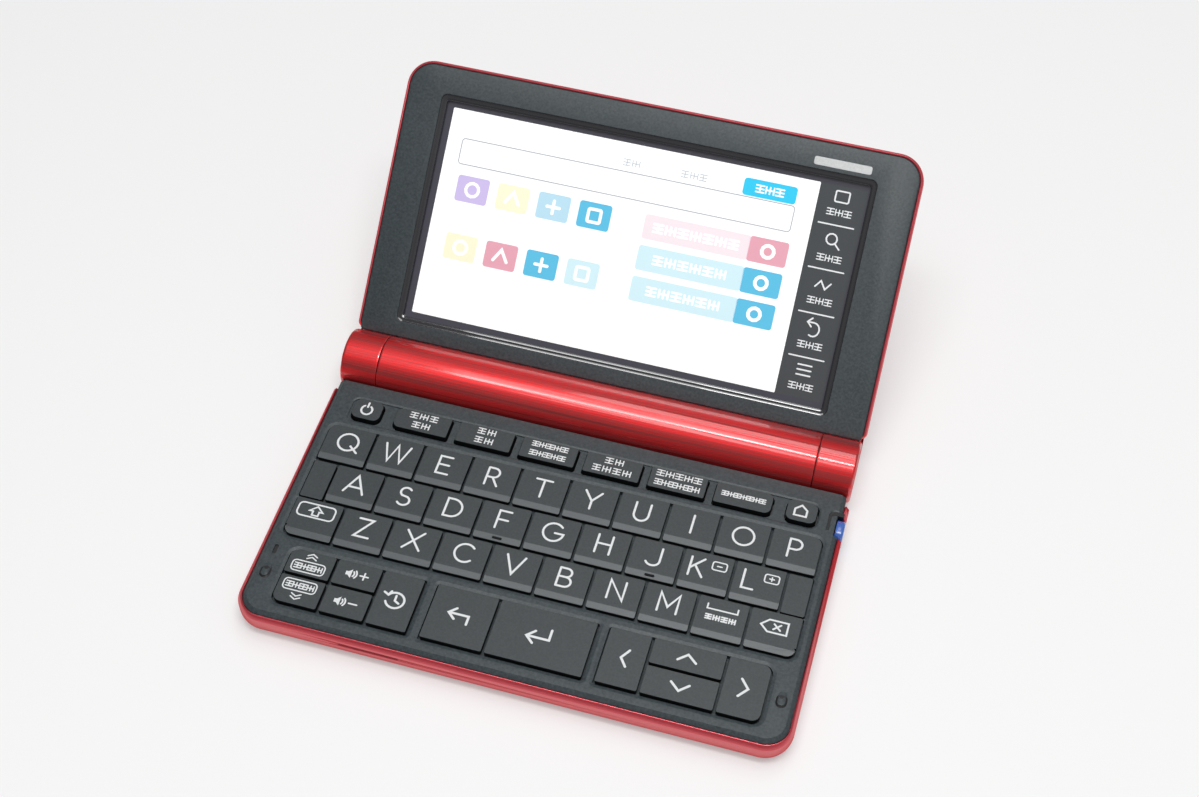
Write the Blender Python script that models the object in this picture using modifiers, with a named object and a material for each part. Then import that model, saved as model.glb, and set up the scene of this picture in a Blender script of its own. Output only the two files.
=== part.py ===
"""Pocket electronic dictionary: keyboard base, battery barrel and folding screen lid.

The panel frame has its origin in the keyboard panel's top plane, on the gap between the first two rows
of letter keys: +X right, +Y towards the hinge, +Z up. Lid pieces are drawn in the lid frame, whose
origin is on the hinge axis: +Y runs up the lid and +Z points out of the screen.
"""
import math

import bmesh
import bpy

MM = 0.001

# Base housing
CORNER_RADIUS = 7.6 * MM
REAR_CORNER_RADIUS = 1.6 * MM
CASE_WALL = 1.45 * MM
RIM_DROP = 0.1 * MM
RIM_CHAMFER = 0.5 * MM
RIM_CHAMFER_HEIGHT = 1.75 * MM
FOOT_ROUND = 4.2 * MM
FOOT_HEIGHT = 5.2 * MM
LIP_WALL = 0.8 * MM
FRONT_MARGIN = 5.75 * MM
REAR_MARGIN = 8.8 * MM

# Keyboard panel
PANEL_GAP = 0.25 * MM
PANEL_EDGE = 1.2 * MM
PANEL_SLAB = 2.5 * MM
PANEL_SLAB_GAP = 0.5 * MM
PANEL_ROUND = 0.3 * MM
POCKET_DEPTH = 1.7 * MM
POCKET_FLARE = 0.55 * MM

# Keys
KEY_TRAVEL = 0.5 * MM
KEY_PROUD = 0.4 * MM
KEY_GAP = 0.6 * MM
KEY_CLEARANCE = 0.3 * MM
KEY_CROWN_INSET = 0.22 * MM
KEY_CROWN_DROP = 0.55 * MM
KEY_CORNER = 0.45 * MM
BLOCK_CORNER = 2.2 * MM
LETTER_MARGIN = 4.3 * MM
LETTER_FRONT_SLOPE = 1.7 * MM
ROW_PITCH = 12.65 * MM
FIRST_ROW_Y = 6.22 * MM
POST_WIDTH = 3.4 * MM
POST_DEPTH = 2.6 * MM
POST_CORNER = 0.6 * MM
POST_REACH = 0.2 * MM
NIB_WIDTH = 2.4 * MM
NIB_DEPTH = 0.55 * MM
NIB_HEIGHT = 0.2 * MM

# Row of function keys behind the letters
FUNCTION_ROW_PITCH = 12.83 * MM
FUNCTION_DEPTH = 7.1 * MM
FUNCTION_CORNER = 1.8 * MM
FUNCTION_PROUD = 0.5 * MM
FUNCTION_RECESS = 0.4 * MM
FUNCTION_MARGIN = 0.35 * MM
FUNCTION_FLARE = 0.25 * MM
SHORTCUT_GAP = 1.97 * MM
ROUND_KEY_MARGIN = 12.25 * MM
ROUND_KEY_WIDTH = 8.7 * MM
ROUND_KEY_GAP = 3.57 * MM
RUNNER_THICKNESS = 0.3 * MM
RUNNER_DEPTH = 3.0 * MM
FLANGE = 0.8 * MM

# Clusters of keys in front of the letters: the edges of their columns, from left to right
CLUSTER_GAP = 3.745 * MM
CLUSTER_DEPTH = 16.35 * MM
CLUSTER_SPLIT_SHARE = 0.474
LEFT_COLUMN_SHARES = (-0.8716, -0.7, -0.5264, -0.373)
MIDDLE_COLUMN_SHARES = (-0.3243, -0.0946, 0.2595)
RIGHT_COLUMN_SHARES = (0.3041, 0.4581, 0.723, 0.8784)

# Marks and openings of the base
MARK_MARGIN = 5.0 * MM
BUMP_WIDTH = 2.8 * MM
BUMP_LENGTH = 4.4 * MM
BUMP_HEIGHT = 0.4 * MM
MIC_WIDTH = 0.9 * MM
MIC_LENGTH = 2.6 * MM
MIC_DEPTH = 1.0 * MM
SLOT_SHARE = -0.4865
SLOT_LENGTH = 16.6 * MM
SLOT_HEIGHT = 0.7 * MM
SLOT_DROP = 1.45 * MM

# Inside the base
MAT_THICKNESS = 0.4 * MM
MAT_SIDE = 6.0 * MM
MAT_MARGIN = 1.4 * MM
MAT_FRONT_GAP = 0.4 * MM
PAD_WIDTH = 4.6 * MM
PAD_GAP = 0.2 * MM
STACK_GAP = 0.15 * MM
LAYER_GAP = 0.25 * MM
BOARD_THICKNESS = 0.8 * MM
BOARD_INSET = 0.8 * MM
CHIP_HEIGHT = 1.3 * MM
CHIP_ROOM = 1.71 * MM
BOSS_RADIUS = 2.0 * MM
BOSS_GAP = 0.3 * MM
SPEAKER_DEPTH = 5.0 * MM
SPEAKER_HEIGHT = 4.2 * MM
SPEAKER_LENGTH = 18.0 * MM

# Cells and the barrel round them; their length and what stands at their ends set the object's width
CELL_RADIUS = 7.2 * MM
CELL_LENGTH = 50.3 * MM
CELL_BUTTON_RADIUS = 2.75 * MM
CELL_BUTTON_LENGTH = 1.4 * MM
CELL_ROUND = 0.7 * MM
CELL_GAP = 0.3 * MM
CELL_ROOM = 0.47 * MM
SPRING_ROOM = 6.75 * MM
SPRING_WIRE = 0.35 * MM
SPRING_RADIUS = 4.6 * MM
SPRING_TIP_RADIUS = 3.0 * MM
SPRING_TURNS = 4
BULKHEAD_THICKNESS = 1.0 * MM
HINGE_ROOM = 2.1 * MM
END_PLATE_THICKNESS = 2.0 * MM
KNUCKLE_GAP = 0.55 * MM
KNUCKLE_LENGTH = 10.45 * MM
KNUCKLE_INSET = 0.7 * MM
KNUCKLE_ROUND = 0.7 * MM
BARREL_WALL = 0.8 * MM
BARREL_SEAT_GAP = 0.39 * MM
BARREL_SPLIT_DROP = 1.81 * MM
BARREL_GAP = 0.3 * MM
BARREL_STEP = 0.15 * MM
PLATE_GAP = 0.27 * MM
COVER_WALL = 0.8 * MM
COVER_END_GAP = 0.4 * MM
WEB_REACH = 3.0 * MM
GRIP_PITCH = 2.2 * MM
GRIP_WIDTH = 0.8 * MM
GRIP_DEPTH = 0.35 * MM
GRIP_LENGTH = 12.0 * MM

# Hinges
HINGE_SHAFT_RADIUS = 2.0 * MM
HINGE_CLEARANCE = 0.25 * MM
HINGE_WASHER_RADIUS = 4.2 * MM
HINGE_WASHERS = 3
HINGE_TANG = 4.0 * MM
HINGE_END = 2.9 * MM

# Stylus in its bay under the function keys
STYLUS_OFFSET = -1.35 * MM
STYLUS_DEPTH = 0.5 * MM
STYLUS_TAIL_HALF_WIDTH = 3.1 * MM
STYLUS_TAIL_LENGTH = 2.5 * MM
STYLUS_SHAFT_RADIUS = 1.2 * MM
STYLUS_LENGTH = 86.0 * MM
STYLUS_TIP_LENGTH = 6.0 * MM
STYLUS_TIP_RADIUS = 0.5 * MM
STYLUS_CLEARANCE = 0.3 * MM
BAY_WALL = 0.9 * MM
BAY_FLOOR = 0.06 * MM
RECESS_WIDTH = 4.4 * MM
RECESS_FRONT_REACH = 3.9 * MM
RECESS_REAR_REACH = 4.5 * MM
RECESS_DEPTH = 0.8 * MM
RECESS_CORNER = 2.4 * MM

# Lid
LID_OPEN_ANGLE = math.radians(40.15)
CLOSED_GAP = 0.7 * MM
LID_SHORT = 0.31 * MM
LID_GAP = 0.73 * MM
LID_CORNER_RADIUS = 7.6 * MM
LID_BOTTOM_CORNER = 1.5 * MM
LID_WALL = 1.2 * MM
LID_ROUND = 4.2 * MM
LID_SIDE = 3.0 * MM
BEZEL_GAP = 0.25 * MM
BEZEL_BOTTOM_GAP = 0.15 * MM
BEZEL_EDGE = 1.2 * MM
BEZEL_SLAB = 1.6 * MM
BEZEL_SLAB_INSET = 1.4 * MM
WINDOW_LEFT_MARGIN = 11.0 * MM
WINDOW_RIGHT_MARGIN = 12.0 * MM
WINDOW_BOTTOM_MARGIN = 4.43 * MM
WINDOW_TOP_MARGIN = 8.55 * MM
WINDOW_CORNER = 1.8 * MM
WINDOW_SLOPE = 2.1 * MM
GLASS_OVERLAP = 1.4 * MM
GLASS_THICKNESS = 1.0 * MM
GLASS_GAP = 0.25 * MM
LCD_THICKNESS = 1.98 * MM
LCD_INSET = 0.3 * MM
LCD_BACK_GAP = 0.3 * MM
LCD_EDGE = 0.5 * MM
NECK_REACH = 1.0 * MM

# Overrun of every cut past the faces that it opens, and of every union into its neighbour
OVERRUN = 1.0 * MM
BITE = 0.3 * MM
WELD = 0.01 * MM

CORNER_STEPS = 5
KEY_STEPS = 2
ROUND_STEPS = 24
BARREL_STEPS = 36

LETTER_ROWS = (("q", "w", "e", "r", "t", "y", "u", "i", "o", "p"),
               ("a", "s", "d", "f", "g", "h", "j", "k", "l"),
               ("shift", "z", "x", "c", "v", "b", "n", "m", "space", "delete"))
NIB_KEYS = ("f", "j")
# The keys of each column from rear to front
LEFT_KEYS = (("page_up", "page_down"), ("volume_up", "volume_down"), ("history",))
MIDDLE_KEYS = (("back",), ("enter",))
RIGHT_KEYS = (("left",), ("up", "down"), ("right",))
CLUSTERS = ((LEFT_COLUMN_SHARES, LEFT_KEYS), (MIDDLE_COLUMN_SHARES, MIDDLE_KEYS), (RIGHT_COLUMN_SHARES, RIGHT_KEYS))

# Places along X, from the cells outwards
BULKHEAD_INNER = CELL_LENGTH + CELL_GAP / 2 + SPRING_ROOM
END_PLATE_INNER = BULKHEAD_INNER + BULKHEAD_THICKNESS + HINGE_ROOM
BARREL_HALF = END_PLATE_INNER + END_PLATE_THICKNESS
COVER_HALF = END_PLATE_INNER - COVER_END_GAP
KNUCKLE_INNER = BARREL_HALF + KNUCKLE_GAP
KNUCKLE_OUTER = KNUCKLE_INNER + KNUCKLE_LENGTH
HINGE_OUTER = KNUCKLE_OUTER - HINGE_END
HALF_WIDTH = KNUCKLE_OUTER + KNUCKLE_INSET
ROUND_KEY_X = HALF_WIDTH - ROUND_KEY_MARGIN
SHORTCUTS_HALF = ROUND_KEY_X - ROUND_KEY_WIDTH / 2 - ROUND_KEY_GAP
SHORTCUT_PITCH = (SHORTCUTS_HALF * 2 + SHORTCUT_GAP) / 6
SHORTCUT_WIDTH = SHORTCUT_PITCH - SHORTCUT_GAP
LETTER_PITCH = (HALF_WIDTH - LETTER_MARGIN) * 2 / len(LETTER_ROWS[0])
LETTER_WIDTH = LETTER_PITCH - KEY_GAP
MARK_X = HALF_WIDTH - MARK_MARGIN
SLOT_X = HALF_WIDTH * SLOT_SHARE
MAT_HALF_WIDTH = HALF_WIDTH - MAT_SIDE
WINDOW_LEFT = WINDOW_LEFT_MARGIN - HALF_WIDTH
WINDOW_RIGHT = HALF_WIDTH - WINDOW_RIGHT_MARGIN

# Places along Y in the panel frame, from the first row of letters to the barrel and to the front
BARREL_RADIUS = CELL_RADIUS + CELL_ROOM + BARREL_WALL
LETTER_DEPTH = ROW_PITCH - KEY_GAP
FUNCTION_Y = FIRST_ROW_Y + FUNCTION_ROW_PITCH
CASE_REAR_Y = FUNCTION_Y + REAR_MARGIN
AXIS_Y = CASE_REAR_Y + BARREL_SEAT_GAP + BARREL_RADIUS
CLUSTER_REAR_Y = FIRST_ROW_Y - ROW_PITCH * 2 - LETTER_DEPTH / 2 - CLUSTER_GAP
CLUSTER_FRONT_Y = CLUSTER_REAR_Y - CLUSTER_DEPTH
CLUSTER_SPLIT_Y = CLUSTER_REAR_Y - CLUSTER_DEPTH * CLUSTER_SPLIT_SHARE
FRONT_Y = CLUSTER_FRONT_Y - FRONT_MARGIN
BUMP_Y = CLUSTER_SPLIT_Y
MIC_Y = CLUSTER_REAR_Y - MIC_LENGTH / 2
SPEAKER_FRONT_Y = FRONT_Y + CASE_WALL + BOSS_GAP
MAT_FRONT_Y = SPEAKER_FRONT_Y + SPEAKER_DEPTH + MAT_FRONT_GAP
MAT_REAR_Y = FUNCTION_Y + FUNCTION_DEPTH / 2 + MAT_MARGIN
STYLUS_Y = FUNCTION_Y + STYLUS_OFFSET

# Heights in the panel frame, from the key tops down to the table
KEY_UNDERSIDE_Z = -(POCKET_DEPTH - KEY_TRAVEL - KEY_CLEARANCE)
POST_END_Z = -PANEL_SLAB - POST_REACH
PAD_TOP_Z = POST_END_Z - KEY_TRAVEL - PAD_GAP
RUNNER_TOP_Z = -PANEL_SLAB - BOSS_GAP
RUNNER_END_Z = RUNNER_TOP_Z - RUNNER_THICKNESS
MAT_TOP_Z = RUNNER_END_Z - KEY_TRAVEL - STACK_GAP
MAT_BOTTOM_Z = MAT_TOP_Z - MAT_THICKNESS
BOARD_TOP_Z = MAT_BOTTOM_Z - LAYER_GAP
BOARD_BOTTOM_Z = BOARD_TOP_Z - BOARD_THICKNESS
CASE_FLOOR_Z = BOARD_BOTTOM_Z - CHIP_HEIGHT - CHIP_ROOM
CASE_BOTTOM_Z = CASE_FLOOR_Z - CASE_WALL
PANEL_HEIGHT = -CASE_BOTTOM_Z
PANEL_SEAT_Z = -PANEL_EDGE - BOSS_GAP
SLOT_Z = -RIM_DROP - RIM_CHAMFER_HEIGHT - SLOT_DROP
AXIS_Z = BARREL_RADIUS - PANEL_HEIGHT
BARREL_SPLIT_Z = AXIS_Z - BARREL_SPLIT_DROP
END_PLATE_RADIUS = BARREL_RADIUS - BARREL_WALL - PLATE_GAP
SHAFT_BORE = HINGE_SHAFT_RADIUS + HINGE_CLEARANCE
STYLUS_TAIL_HALF_HEIGHT = (-CASE_FLOOR_Z - STYLUS_DEPTH - STYLUS_CLEARANCE) / 2
STYLUS_TAIL_Z = -STYLUS_DEPTH - STYLUS_TAIL_HALF_HEIGHT
STYLUS_SHAFT_Z = CASE_FLOOR_Z + STYLUS_SHAFT_RADIUS + STYLUS_CLEARANCE + BAY_FLOOR

# Places in the lid frame
LID_TOP_Y = AXIS_Y - FRONT_Y - LID_SHORT
LID_BOTTOM_Y = BARREL_RADIUS + LID_GAP
BEZEL_BOTTOM_Y = BARREL_RADIUS + BEZEL_BOTTOM_GAP
WINDOW_BOTTOM = BEZEL_BOTTOM_Y + WINDOW_BOTTOM_MARGIN
WINDOW_TOP = LID_TOP_Y - WINDOW_TOP_MARGIN
BEZEL_Z = AXIS_Z - CLOSED_GAP
GLASS_FRONT_Z = BEZEL_Z - BEZEL_SLAB - GLASS_GAP
GLASS_BACK_Z = GLASS_FRONT_Z - GLASS_THICKNESS
LCD_FRONT_Z = GLASS_BACK_Z - GLASS_GAP
LCD_BACK_Z = LCD_FRONT_Z - LCD_THICKNESS
LID_BACK_Z = LCD_BACK_Z - LCD_BACK_GAP - LID_WALL


def clear_scene():
    for item in list(bpy.data.objects):
        bpy.data.objects.remove(item, do_unlink=True)


def new_collection(name):
    group = bpy.data.collections.new(name)
    bpy.context.scene.collection.children.link(group)
    return group


def new_material(name, colour, roughness, metallic=0.0):
    made = bpy.data.materials.new(name)
    made.use_nodes = True
    made.diffuse_color = (*colour, 1.0)
    shader = made.node_tree.nodes["Principled BSDF"]
    shader.inputs["Base Color"].default_value = (*colour, 1.0)
    shader.inputs["Roughness"].default_value = roughness
    shader.inputs["Metallic"].default_value = metallic
    return made


clear_scene()
PARTS = new_collection("electronic_dictionary")
CUTTERS = new_collection("cutters")

RED = new_material("red_metallic_plastic", (0.55, 0.02, 0.03), 0.28, 0.6)
SLATE = new_material("slate_plastic", (0.075, 0.085, 0.09), 0.55)
KEY_GREY = new_material("key_plastic", (0.065, 0.072, 0.077), 0.5)
BLACK_GLASS = new_material("screen_glass", (0.02, 0.02, 0.025), 0.08)
STEEL = new_material("steel", (0.6, 0.6, 0.6), 0.3, 1.0)
BOARD_GREEN = new_material("board_green", (0.03, 0.2, 0.08), 0.5)
RUBBER = new_material("rubber", (0.25, 0.25, 0.25), 0.8)
BLUE = new_material("stylus_blue", (0.02, 0.06, 0.45), 0.3)
CELL = new_material("cell_jacket", (0.12, 0.12, 0.14), 0.35, 0.3)
BLACK = new_material("black_plastic", (0.02, 0.02, 0.02), 0.5)


def new_frame(name, location, tilt=0.0, parent=None):
    """An empty that carries the pieces drawn in its own axes."""
    frame = bpy.data.objects.new(name, None)
    PARTS.objects.link(frame)
    frame.location = location
    frame.rotation_euler = (tilt, 0.0, 0.0)
    frame.parent = parent
    return frame


def place(name, shape, material, parent, origin=(0.0, 0.0, 0.0), smooth=30.0):
    """Turns a bmesh into an object whose origin is moved to the given point of its parent's frame."""
    bmesh.ops.recalc_face_normals(shape, faces=shape.faces)
    bmesh.ops.translate(shape, verts=shape.verts, vec=[-value for value in origin])
    mesh = bpy.data.meshes.new(name)
    shape.to_mesh(mesh)
    shape.free()
    mesh.shade_smooth()
    mesh.set_sharp_from_angle(angle=math.radians(smooth))
    piece = bpy.data.objects.new(name, mesh)
    piece.location = origin
    piece.parent = parent
    if material is None:
        CUTTERS.objects.link(piece)
        piece.hide_render = True
        piece.display_type = "WIRE"
    else:
        mesh.materials.append(material)
        PARTS.objects.link(piece)
    return piece


def combine(target, tool, operation):
    step = target.modifiers.new(f"{operation.lower()} {tool.name}", "BOOLEAN")
    step.operation = operation
    step.solver = "EXACT"
    step.object = tool
    if operation == "UNION" and tool.material_slots:
        step.material_mode = "INDEX"


def cut(target, tool):
    combine(target, tool, "DIFFERENCE")


def join(target, tool):
    combine(target, tool, "UNION")


def outline(x0, x1, y0, y1, radii, steps=CORNER_STEPS):
    """Rounded rectangle, anticlockwise from its left front corner, with a radius for each corner."""
    corners = ((x0, y0, 1, 1), (x1, y0, -1, 1), (x1, y1, -1, -1), (x0, y1, 1, -1))
    points = []
    for index, ((x, y, inward_x, inward_y), radius) in enumerate(zip(corners, radii)):
        for step in range(steps + 1):
            angle = math.pi * (1 + index / 2 + step / steps / 2)
            points.append((x + inward_x * radius + radius * math.cos(angle),
                           y + inward_y * radius + radius * math.sin(angle)))
    return points


def ring(points, z):
    return [(x, y, z) for x, y in points]


def skin(shape, rings, close_start=True, close_end=True):
    """Faces between successive rings of equal count, and a flat face on each closed end."""
    rows = [[shape.verts.new(point) for point in points] for points in rings]
    count = len(rows[0])
    for lower, upper in zip(rows, rows[1:]):
        for i in range(count):
            j = (i + 1) % count
            shape.faces.new((lower[i], lower[j], upper[j], upper[i]))
    if close_start:
        shape.faces.new(rows[0][::-1])
    if close_end:
        shape.faces.new(rows[-1])


def loft(name, rings, material, parent, origin=(0.0, 0.0, 0.0), **ends):
    shape = bmesh.new()
    skin(shape, rings, **ends)
    return place(name, shape, material, parent, origin)


def add_box(shape, x0, x1, y0, y1, z0, z1):
    made = bmesh.ops.create_cube(shape, size=1.0)["verts"]
    bmesh.ops.scale(shape, vec=(x1 - x0, y1 - y0, z1 - z0), verts=made)
    bmesh.ops.translate(shape, vec=((x0 + x1) / 2, (y0 + y1) / 2, (z0 + z1) / 2), verts=made)
    return made


def box(name, x0, x1, y0, y1, z0, z1, material, parent):
    shape = bmesh.new()
    add_box(shape, x0, x1, y0, y1, z0, z1)
    return place(name, shape, material, parent)


def turned(name, profile, material, parent, steps=ROUND_STEPS, origin=(0.0, 0.0, 0.0)):
    """A solid turned about X through its origin: (x, radius) pairs in rising x, closed on the axis at both ends."""
    shape = bmesh.new()
    points = [(profile[0][0], 0.0), *profile, (profile[-1][0], 0.0)]
    line = [shape.verts.new((x, 0.0, radius)) for x, radius in points]
    for first, second in zip(line, line[1:]):
        shape.edges.new((first, second))
    piece = place(name, shape, material, parent)
    piece.location = origin
    screw = piece.modifiers.new("turn", "SCREW")
    screw.axis = "X"
    screw.steps = steps
    screw.render_steps = steps
    screw.use_merge_vertices = True
    screw.merge_threshold = WELD
    apply_modifiers(piece)
    return piece


def apply_modifiers(piece, smooth=30.0):
    """Replaces the piece's mesh by its evaluated one, with its faces outwards and its edges marked sharp."""
    graph = bpy.context.evaluated_depsgraph_get()
    mesh = bpy.data.meshes.new_from_object(piece.evaluated_get(graph))
    piece.modifiers.clear()
    shape = bmesh.new()
    shape.from_mesh(mesh)
    bmesh.ops.recalc_face_normals(shape, faces=shape.faces)
    shape.to_mesh(mesh)
    shape.free()
    mesh.shade_smooth()
    mesh.set_sharp_from_angle(angle=math.radians(smooth))
    piece.data = mesh


def solidify(piece, thickness, offset=-1.0):
    step = piece.modifiers.new("wall", "SOLIDIFY")
    step.thickness = thickness
    step.offset = offset
    step.use_even_offset = True


def extruded(name, profile, half_length, material, parent):
    """An open surface: a line of (y, z) points drawn out along X."""
    shape = bmesh.new()
    line = [shape.verts.new((-half_length, y, z)) for y, z in profile]
    edges = [shape.edges.new(pair) for pair in zip(line, line[1:])]
    drawn = bmesh.ops.extrude_edge_only(shape, edges=edges)["geom"]
    moved = [item for item in drawn if isinstance(item, bmesh.types.BMVert)]
    bmesh.ops.translate(shape, vec=(half_length * 2, 0.0, 0.0), verts=moved)
    return place(name, shape, material, parent)


def arc(radius, start, end, steps, y=0.0, z=0.0):
    """Points of a circle about (y, z), angles in radians from +Y towards +Z."""
    return [(y + radius * math.cos(start + (end - start) * step / steps),
             z + radius * math.sin(start + (end - start) * step / steps)) for step in range(steps + 1)]


def shell_sections(top_z, bottom_z, rim_inset, rim_height, round_width, round_height, steps=4):
    """(inset, z) pairs down a shell's outer side: chamfered rim, upright side, rounded foot."""
    centre_z = bottom_z + round_height
    sections = [(rim_inset, top_z), (0.0, top_z - rim_height)]
    for step in range(steps + 1):
        turn = math.pi / 2 * step / steps
        sections.append((round_width * (1 - math.cos(turn)), centre_z - round_height * math.sin(turn)))
    return sections


def open_rear_y():
    """How far back the open lid reaches from the hinge axis."""
    sections = shell_sections(BEZEL_Z - RIM_DROP, LID_BACK_Z, RIM_CHAMFER, RIM_CHAMFER_HEIGHT, LID_ROUND, LID_SIDE)
    return max((LID_TOP_Y - inset) * math.cos(LID_OPEN_ANGLE) - z * math.sin(LID_OPEN_ANGLE) for inset, z in sections)


MIDDLE_Y = (FRONT_Y + AXIS_Y + open_rear_y()) / 2
BASE = new_frame("base_frame", (0.0, -MIDDLE_Y, PANEL_HEIGHT))
LID = new_frame("lid_axis", (0.0, AXIS_Y, AXIS_Z), LID_OPEN_ANGLE, BASE)
BARREL = new_frame("barrel_axis", (0.0, AXIS_Y, AXIS_Z), 0.0, BASE)


def base_outline(inset, rear_y=CASE_REAR_Y, rear_radius=REAR_CORNER_RADIUS):
    radius = CORNER_RADIUS - inset
    return outline(-HALF_WIDTH + inset, HALF_WIDTH - inset, FRONT_Y + inset, rear_y,
                   (radius, radius, rear_radius, rear_radius))


def build_shell(name, plan, top_z, bottom_z, wall, round_width, round_height):
    """Tray with a chamfered rim and a rounded foot, hollowed out to an even wall; plan(inset, wall) is its outline."""
    outside = shell_sections(top_z, bottom_z, RIM_CHAMFER, RIM_CHAMFER_HEIGHT, round_width, round_height)
    inside = shell_sections(top_z + OVERRUN, bottom_z + wall, 0.0, OVERRUN, round_width - wall, round_height - wall)
    tray = loft(name, [ring(plan(inset, 0.0), z) for inset, z in reversed(outside)], RED, None)
    cavity = loft(f"{name}_cavity", [ring(plan(inset + wall, wall), z) for inset, z in reversed(inside)], None, None)
    cut(tray, cavity)
    return tray, cavity


def build_bottom_case():
    """Red shell: walls and floor, the stylus bay, the board's bosses and the ends of the barrel."""
    case, cavity = build_shell("bottom_case", lambda inset, wall: base_outline(inset, CASE_REAR_Y - wall), -RIM_DROP,
                               CASE_BOTTOM_Z, CASE_WALL, FOOT_ROUND, FOOT_HEIGHT)
    case.parent = BASE
    cavity.parent = BASE
    cut(case, loft("panel_seat", [ring(base_outline(LIP_WALL, rear_y=CASE_REAR_Y + OVERRUN), z)
                                  for z in (PANEL_SEAT_Z, OVERRUN)], None, BASE))

    for side in (-1, 1):
        tag = "left" if side < 0 else "right"
        for label, inner, outer in (("bulkhead", BULKHEAD_INNER, BULKHEAD_INNER + BULKHEAD_THICKNESS),
                                    ("end_plate", END_PLATE_INNER, BARREL_HALF)):
            join(case, build_plate(f"{label}_{tag}", sorted((side * inner, side * outer))))
        foot = sorted((side * (END_PLATE_INNER + BARREL_STEP), side * (BARREL_HALF - BARREL_STEP)))
        join(case, build_end_foot(f"end_foot_{tag}", foot))
    cut(case, turned("shaft_bores", [(x, SHAFT_BORE) for x in (-HALF_WIDTH, HALF_WIDTH)], None, BARREL, 16))

    join(case, box("stylus_bay", HALF_WIDTH - STYLUS_LENGTH - BAY_WALL, HALF_WIDTH - CASE_WALL / 2,
                   STYLUS_Y - STYLUS_SHAFT_RADIUS - STYLUS_CLEARANCE - BAY_WALL,
                   STYLUS_Y + STYLUS_SHAFT_RADIUS + STYLUS_CLEARANCE + BAY_WALL,
                   CASE_FLOOR_Z - BITE, STYLUS_SHAFT_Z + STYLUS_SHAFT_RADIUS / 2, None, BASE))
    join(case, build_bosses())
    cut(case, box("sound_slot", SLOT_X - SLOT_LENGTH / 2, SLOT_X + SLOT_LENGTH / 2, FRONT_Y - OVERRUN,
                  FRONT_Y + CASE_WALL + OVERRUN, SLOT_Z - SLOT_HEIGHT / 2, SLOT_Z + SLOT_HEIGHT / 2, None, BASE))
    cut(case, stylus_way("tail_notch"))
    bore = STYLUS_SHAFT_RADIUS + STYLUS_CLEARANCE
    ends = (HALF_WIDTH - STYLUS_LENGTH - STYLUS_CLEARANCE, HALF_WIDTH)
    cut(case, turned("stylus_bore", [(x, bore) for x in ends], None, BASE, 12, (0.0, STYLUS_Y, STYLUS_SHAFT_Z)))
    mouth = STYLUS_TAIL_HALF_WIDTH + STYLUS_CLEARANCE
    cut(case, box("tail_notch_mouth", tail_x(), HALF_WIDTH + OVERRUN, STYLUS_Y - mouth, STYLUS_Y + mouth,
                  STYLUS_TAIL_Z, OVERRUN, None, BASE))


def lower_profile(top_z, front_y):
    """(y, z) points of the barrel's underside about its axis: round behind, flat forwards."""
    start = math.asin((top_z - AXIS_Z) / BARREL_RADIUS)
    end = -math.pi / 2 - math.acos((BARREL_RADIUS - BARREL_STEP) / BARREL_RADIUS)
    profile = arc(BARREL_RADIUS, start, end, 14)
    profile.append((front_y - AXIS_Y, BARREL_STEP - BARREL_RADIUS))
    return profile


def build_plate(name, ends):
    """An upright plate across the barrel: round, and low in front where it runs into the case's rear wall."""
    low = BARREL_STEP - END_PLATE_RADIUS
    start = -math.pi / 2 - math.acos(-low / END_PLATE_RADIUS)
    profile = arc(END_PLATE_RADIUS, start, math.pi + math.asin(WEB_REACH / END_PLATE_RADIUS), 24)
    front_y = CASE_REAR_Y - CASE_WALL / 2 - AXIS_Y
    profile += [(front_y, -WEB_REACH), (front_y, low)]
    return loft(name, [[(x, y, z) for y, z in profile] for x in ends], None, BARREL)


def build_end_foot(name, ends):
    """The part of an end plate below the barrel's parting line, flat forwards into the case."""
    profile = lower_profile(BARREL_SPLIT_Z - BARREL_GAP, CASE_REAR_Y - CASE_WALL / 3)
    profile.append((profile[-1][0], -WEB_REACH - BITE))
    return loft(name, [[(x, y, z) for y, z in profile] for x in ends], None, BARREL)


def build_bosses():
    """Five posts on the floor that carry the board."""
    shape = bmesh.new()
    reach_x = MAT_HALF_WIDTH - BOARD_INSET - BOSS_RADIUS
    front_y = MAT_FRONT_Y + BOARD_INSET + BOSS_RADIUS
    rear_y = STYLUS_Y - STYLUS_SHAFT_RADIUS - BAY_WALL - BOSS_RADIUS * 2
    height = (BOARD_BOTTOM_Z - BOSS_GAP) - (CASE_FLOOR_Z - BITE)
    for x, y in ((-reach_x, front_y), (reach_x, front_y), (-reach_x, rear_y), (reach_x, rear_y), (0.0, front_y)):
        made = bmesh.ops.create_cone(shape, cap_ends=True, segments=12, radius1=BOSS_RADIUS, radius2=BOSS_RADIUS,
                                     depth=height)["verts"]
        bmesh.ops.translate(shape, vec=(x, y, CASE_FLOOR_Z - BITE + height / 2), verts=made)
    return place("board_bosses", shape, None, BASE)


def oval(y, z, half_width, half_height, steps=24):
    return [(y + half_width * math.cos(math.tau * i / steps), z + half_height * math.sin(math.tau * i / steps))
            for i in range(steps)]


def tail_x():
    return HALF_WIDTH - STYLUS_TAIL_LENGTH - STYLUS_CLEARANCE


def stylus_way(name):
    """The notch that the stylus's tail lies in, open at the side."""
    points = oval(STYLUS_Y, STYLUS_TAIL_Z, STYLUS_TAIL_HALF_WIDTH + STYLUS_CLEARANCE,
                  STYLUS_TAIL_HALF_HEIGHT + STYLUS_CLEARANCE)
    return loft(name, [[(x, y, z) for y, z in points] for x in (tail_x(), HALF_WIDTH + OVERRUN)], None, BASE)


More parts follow.
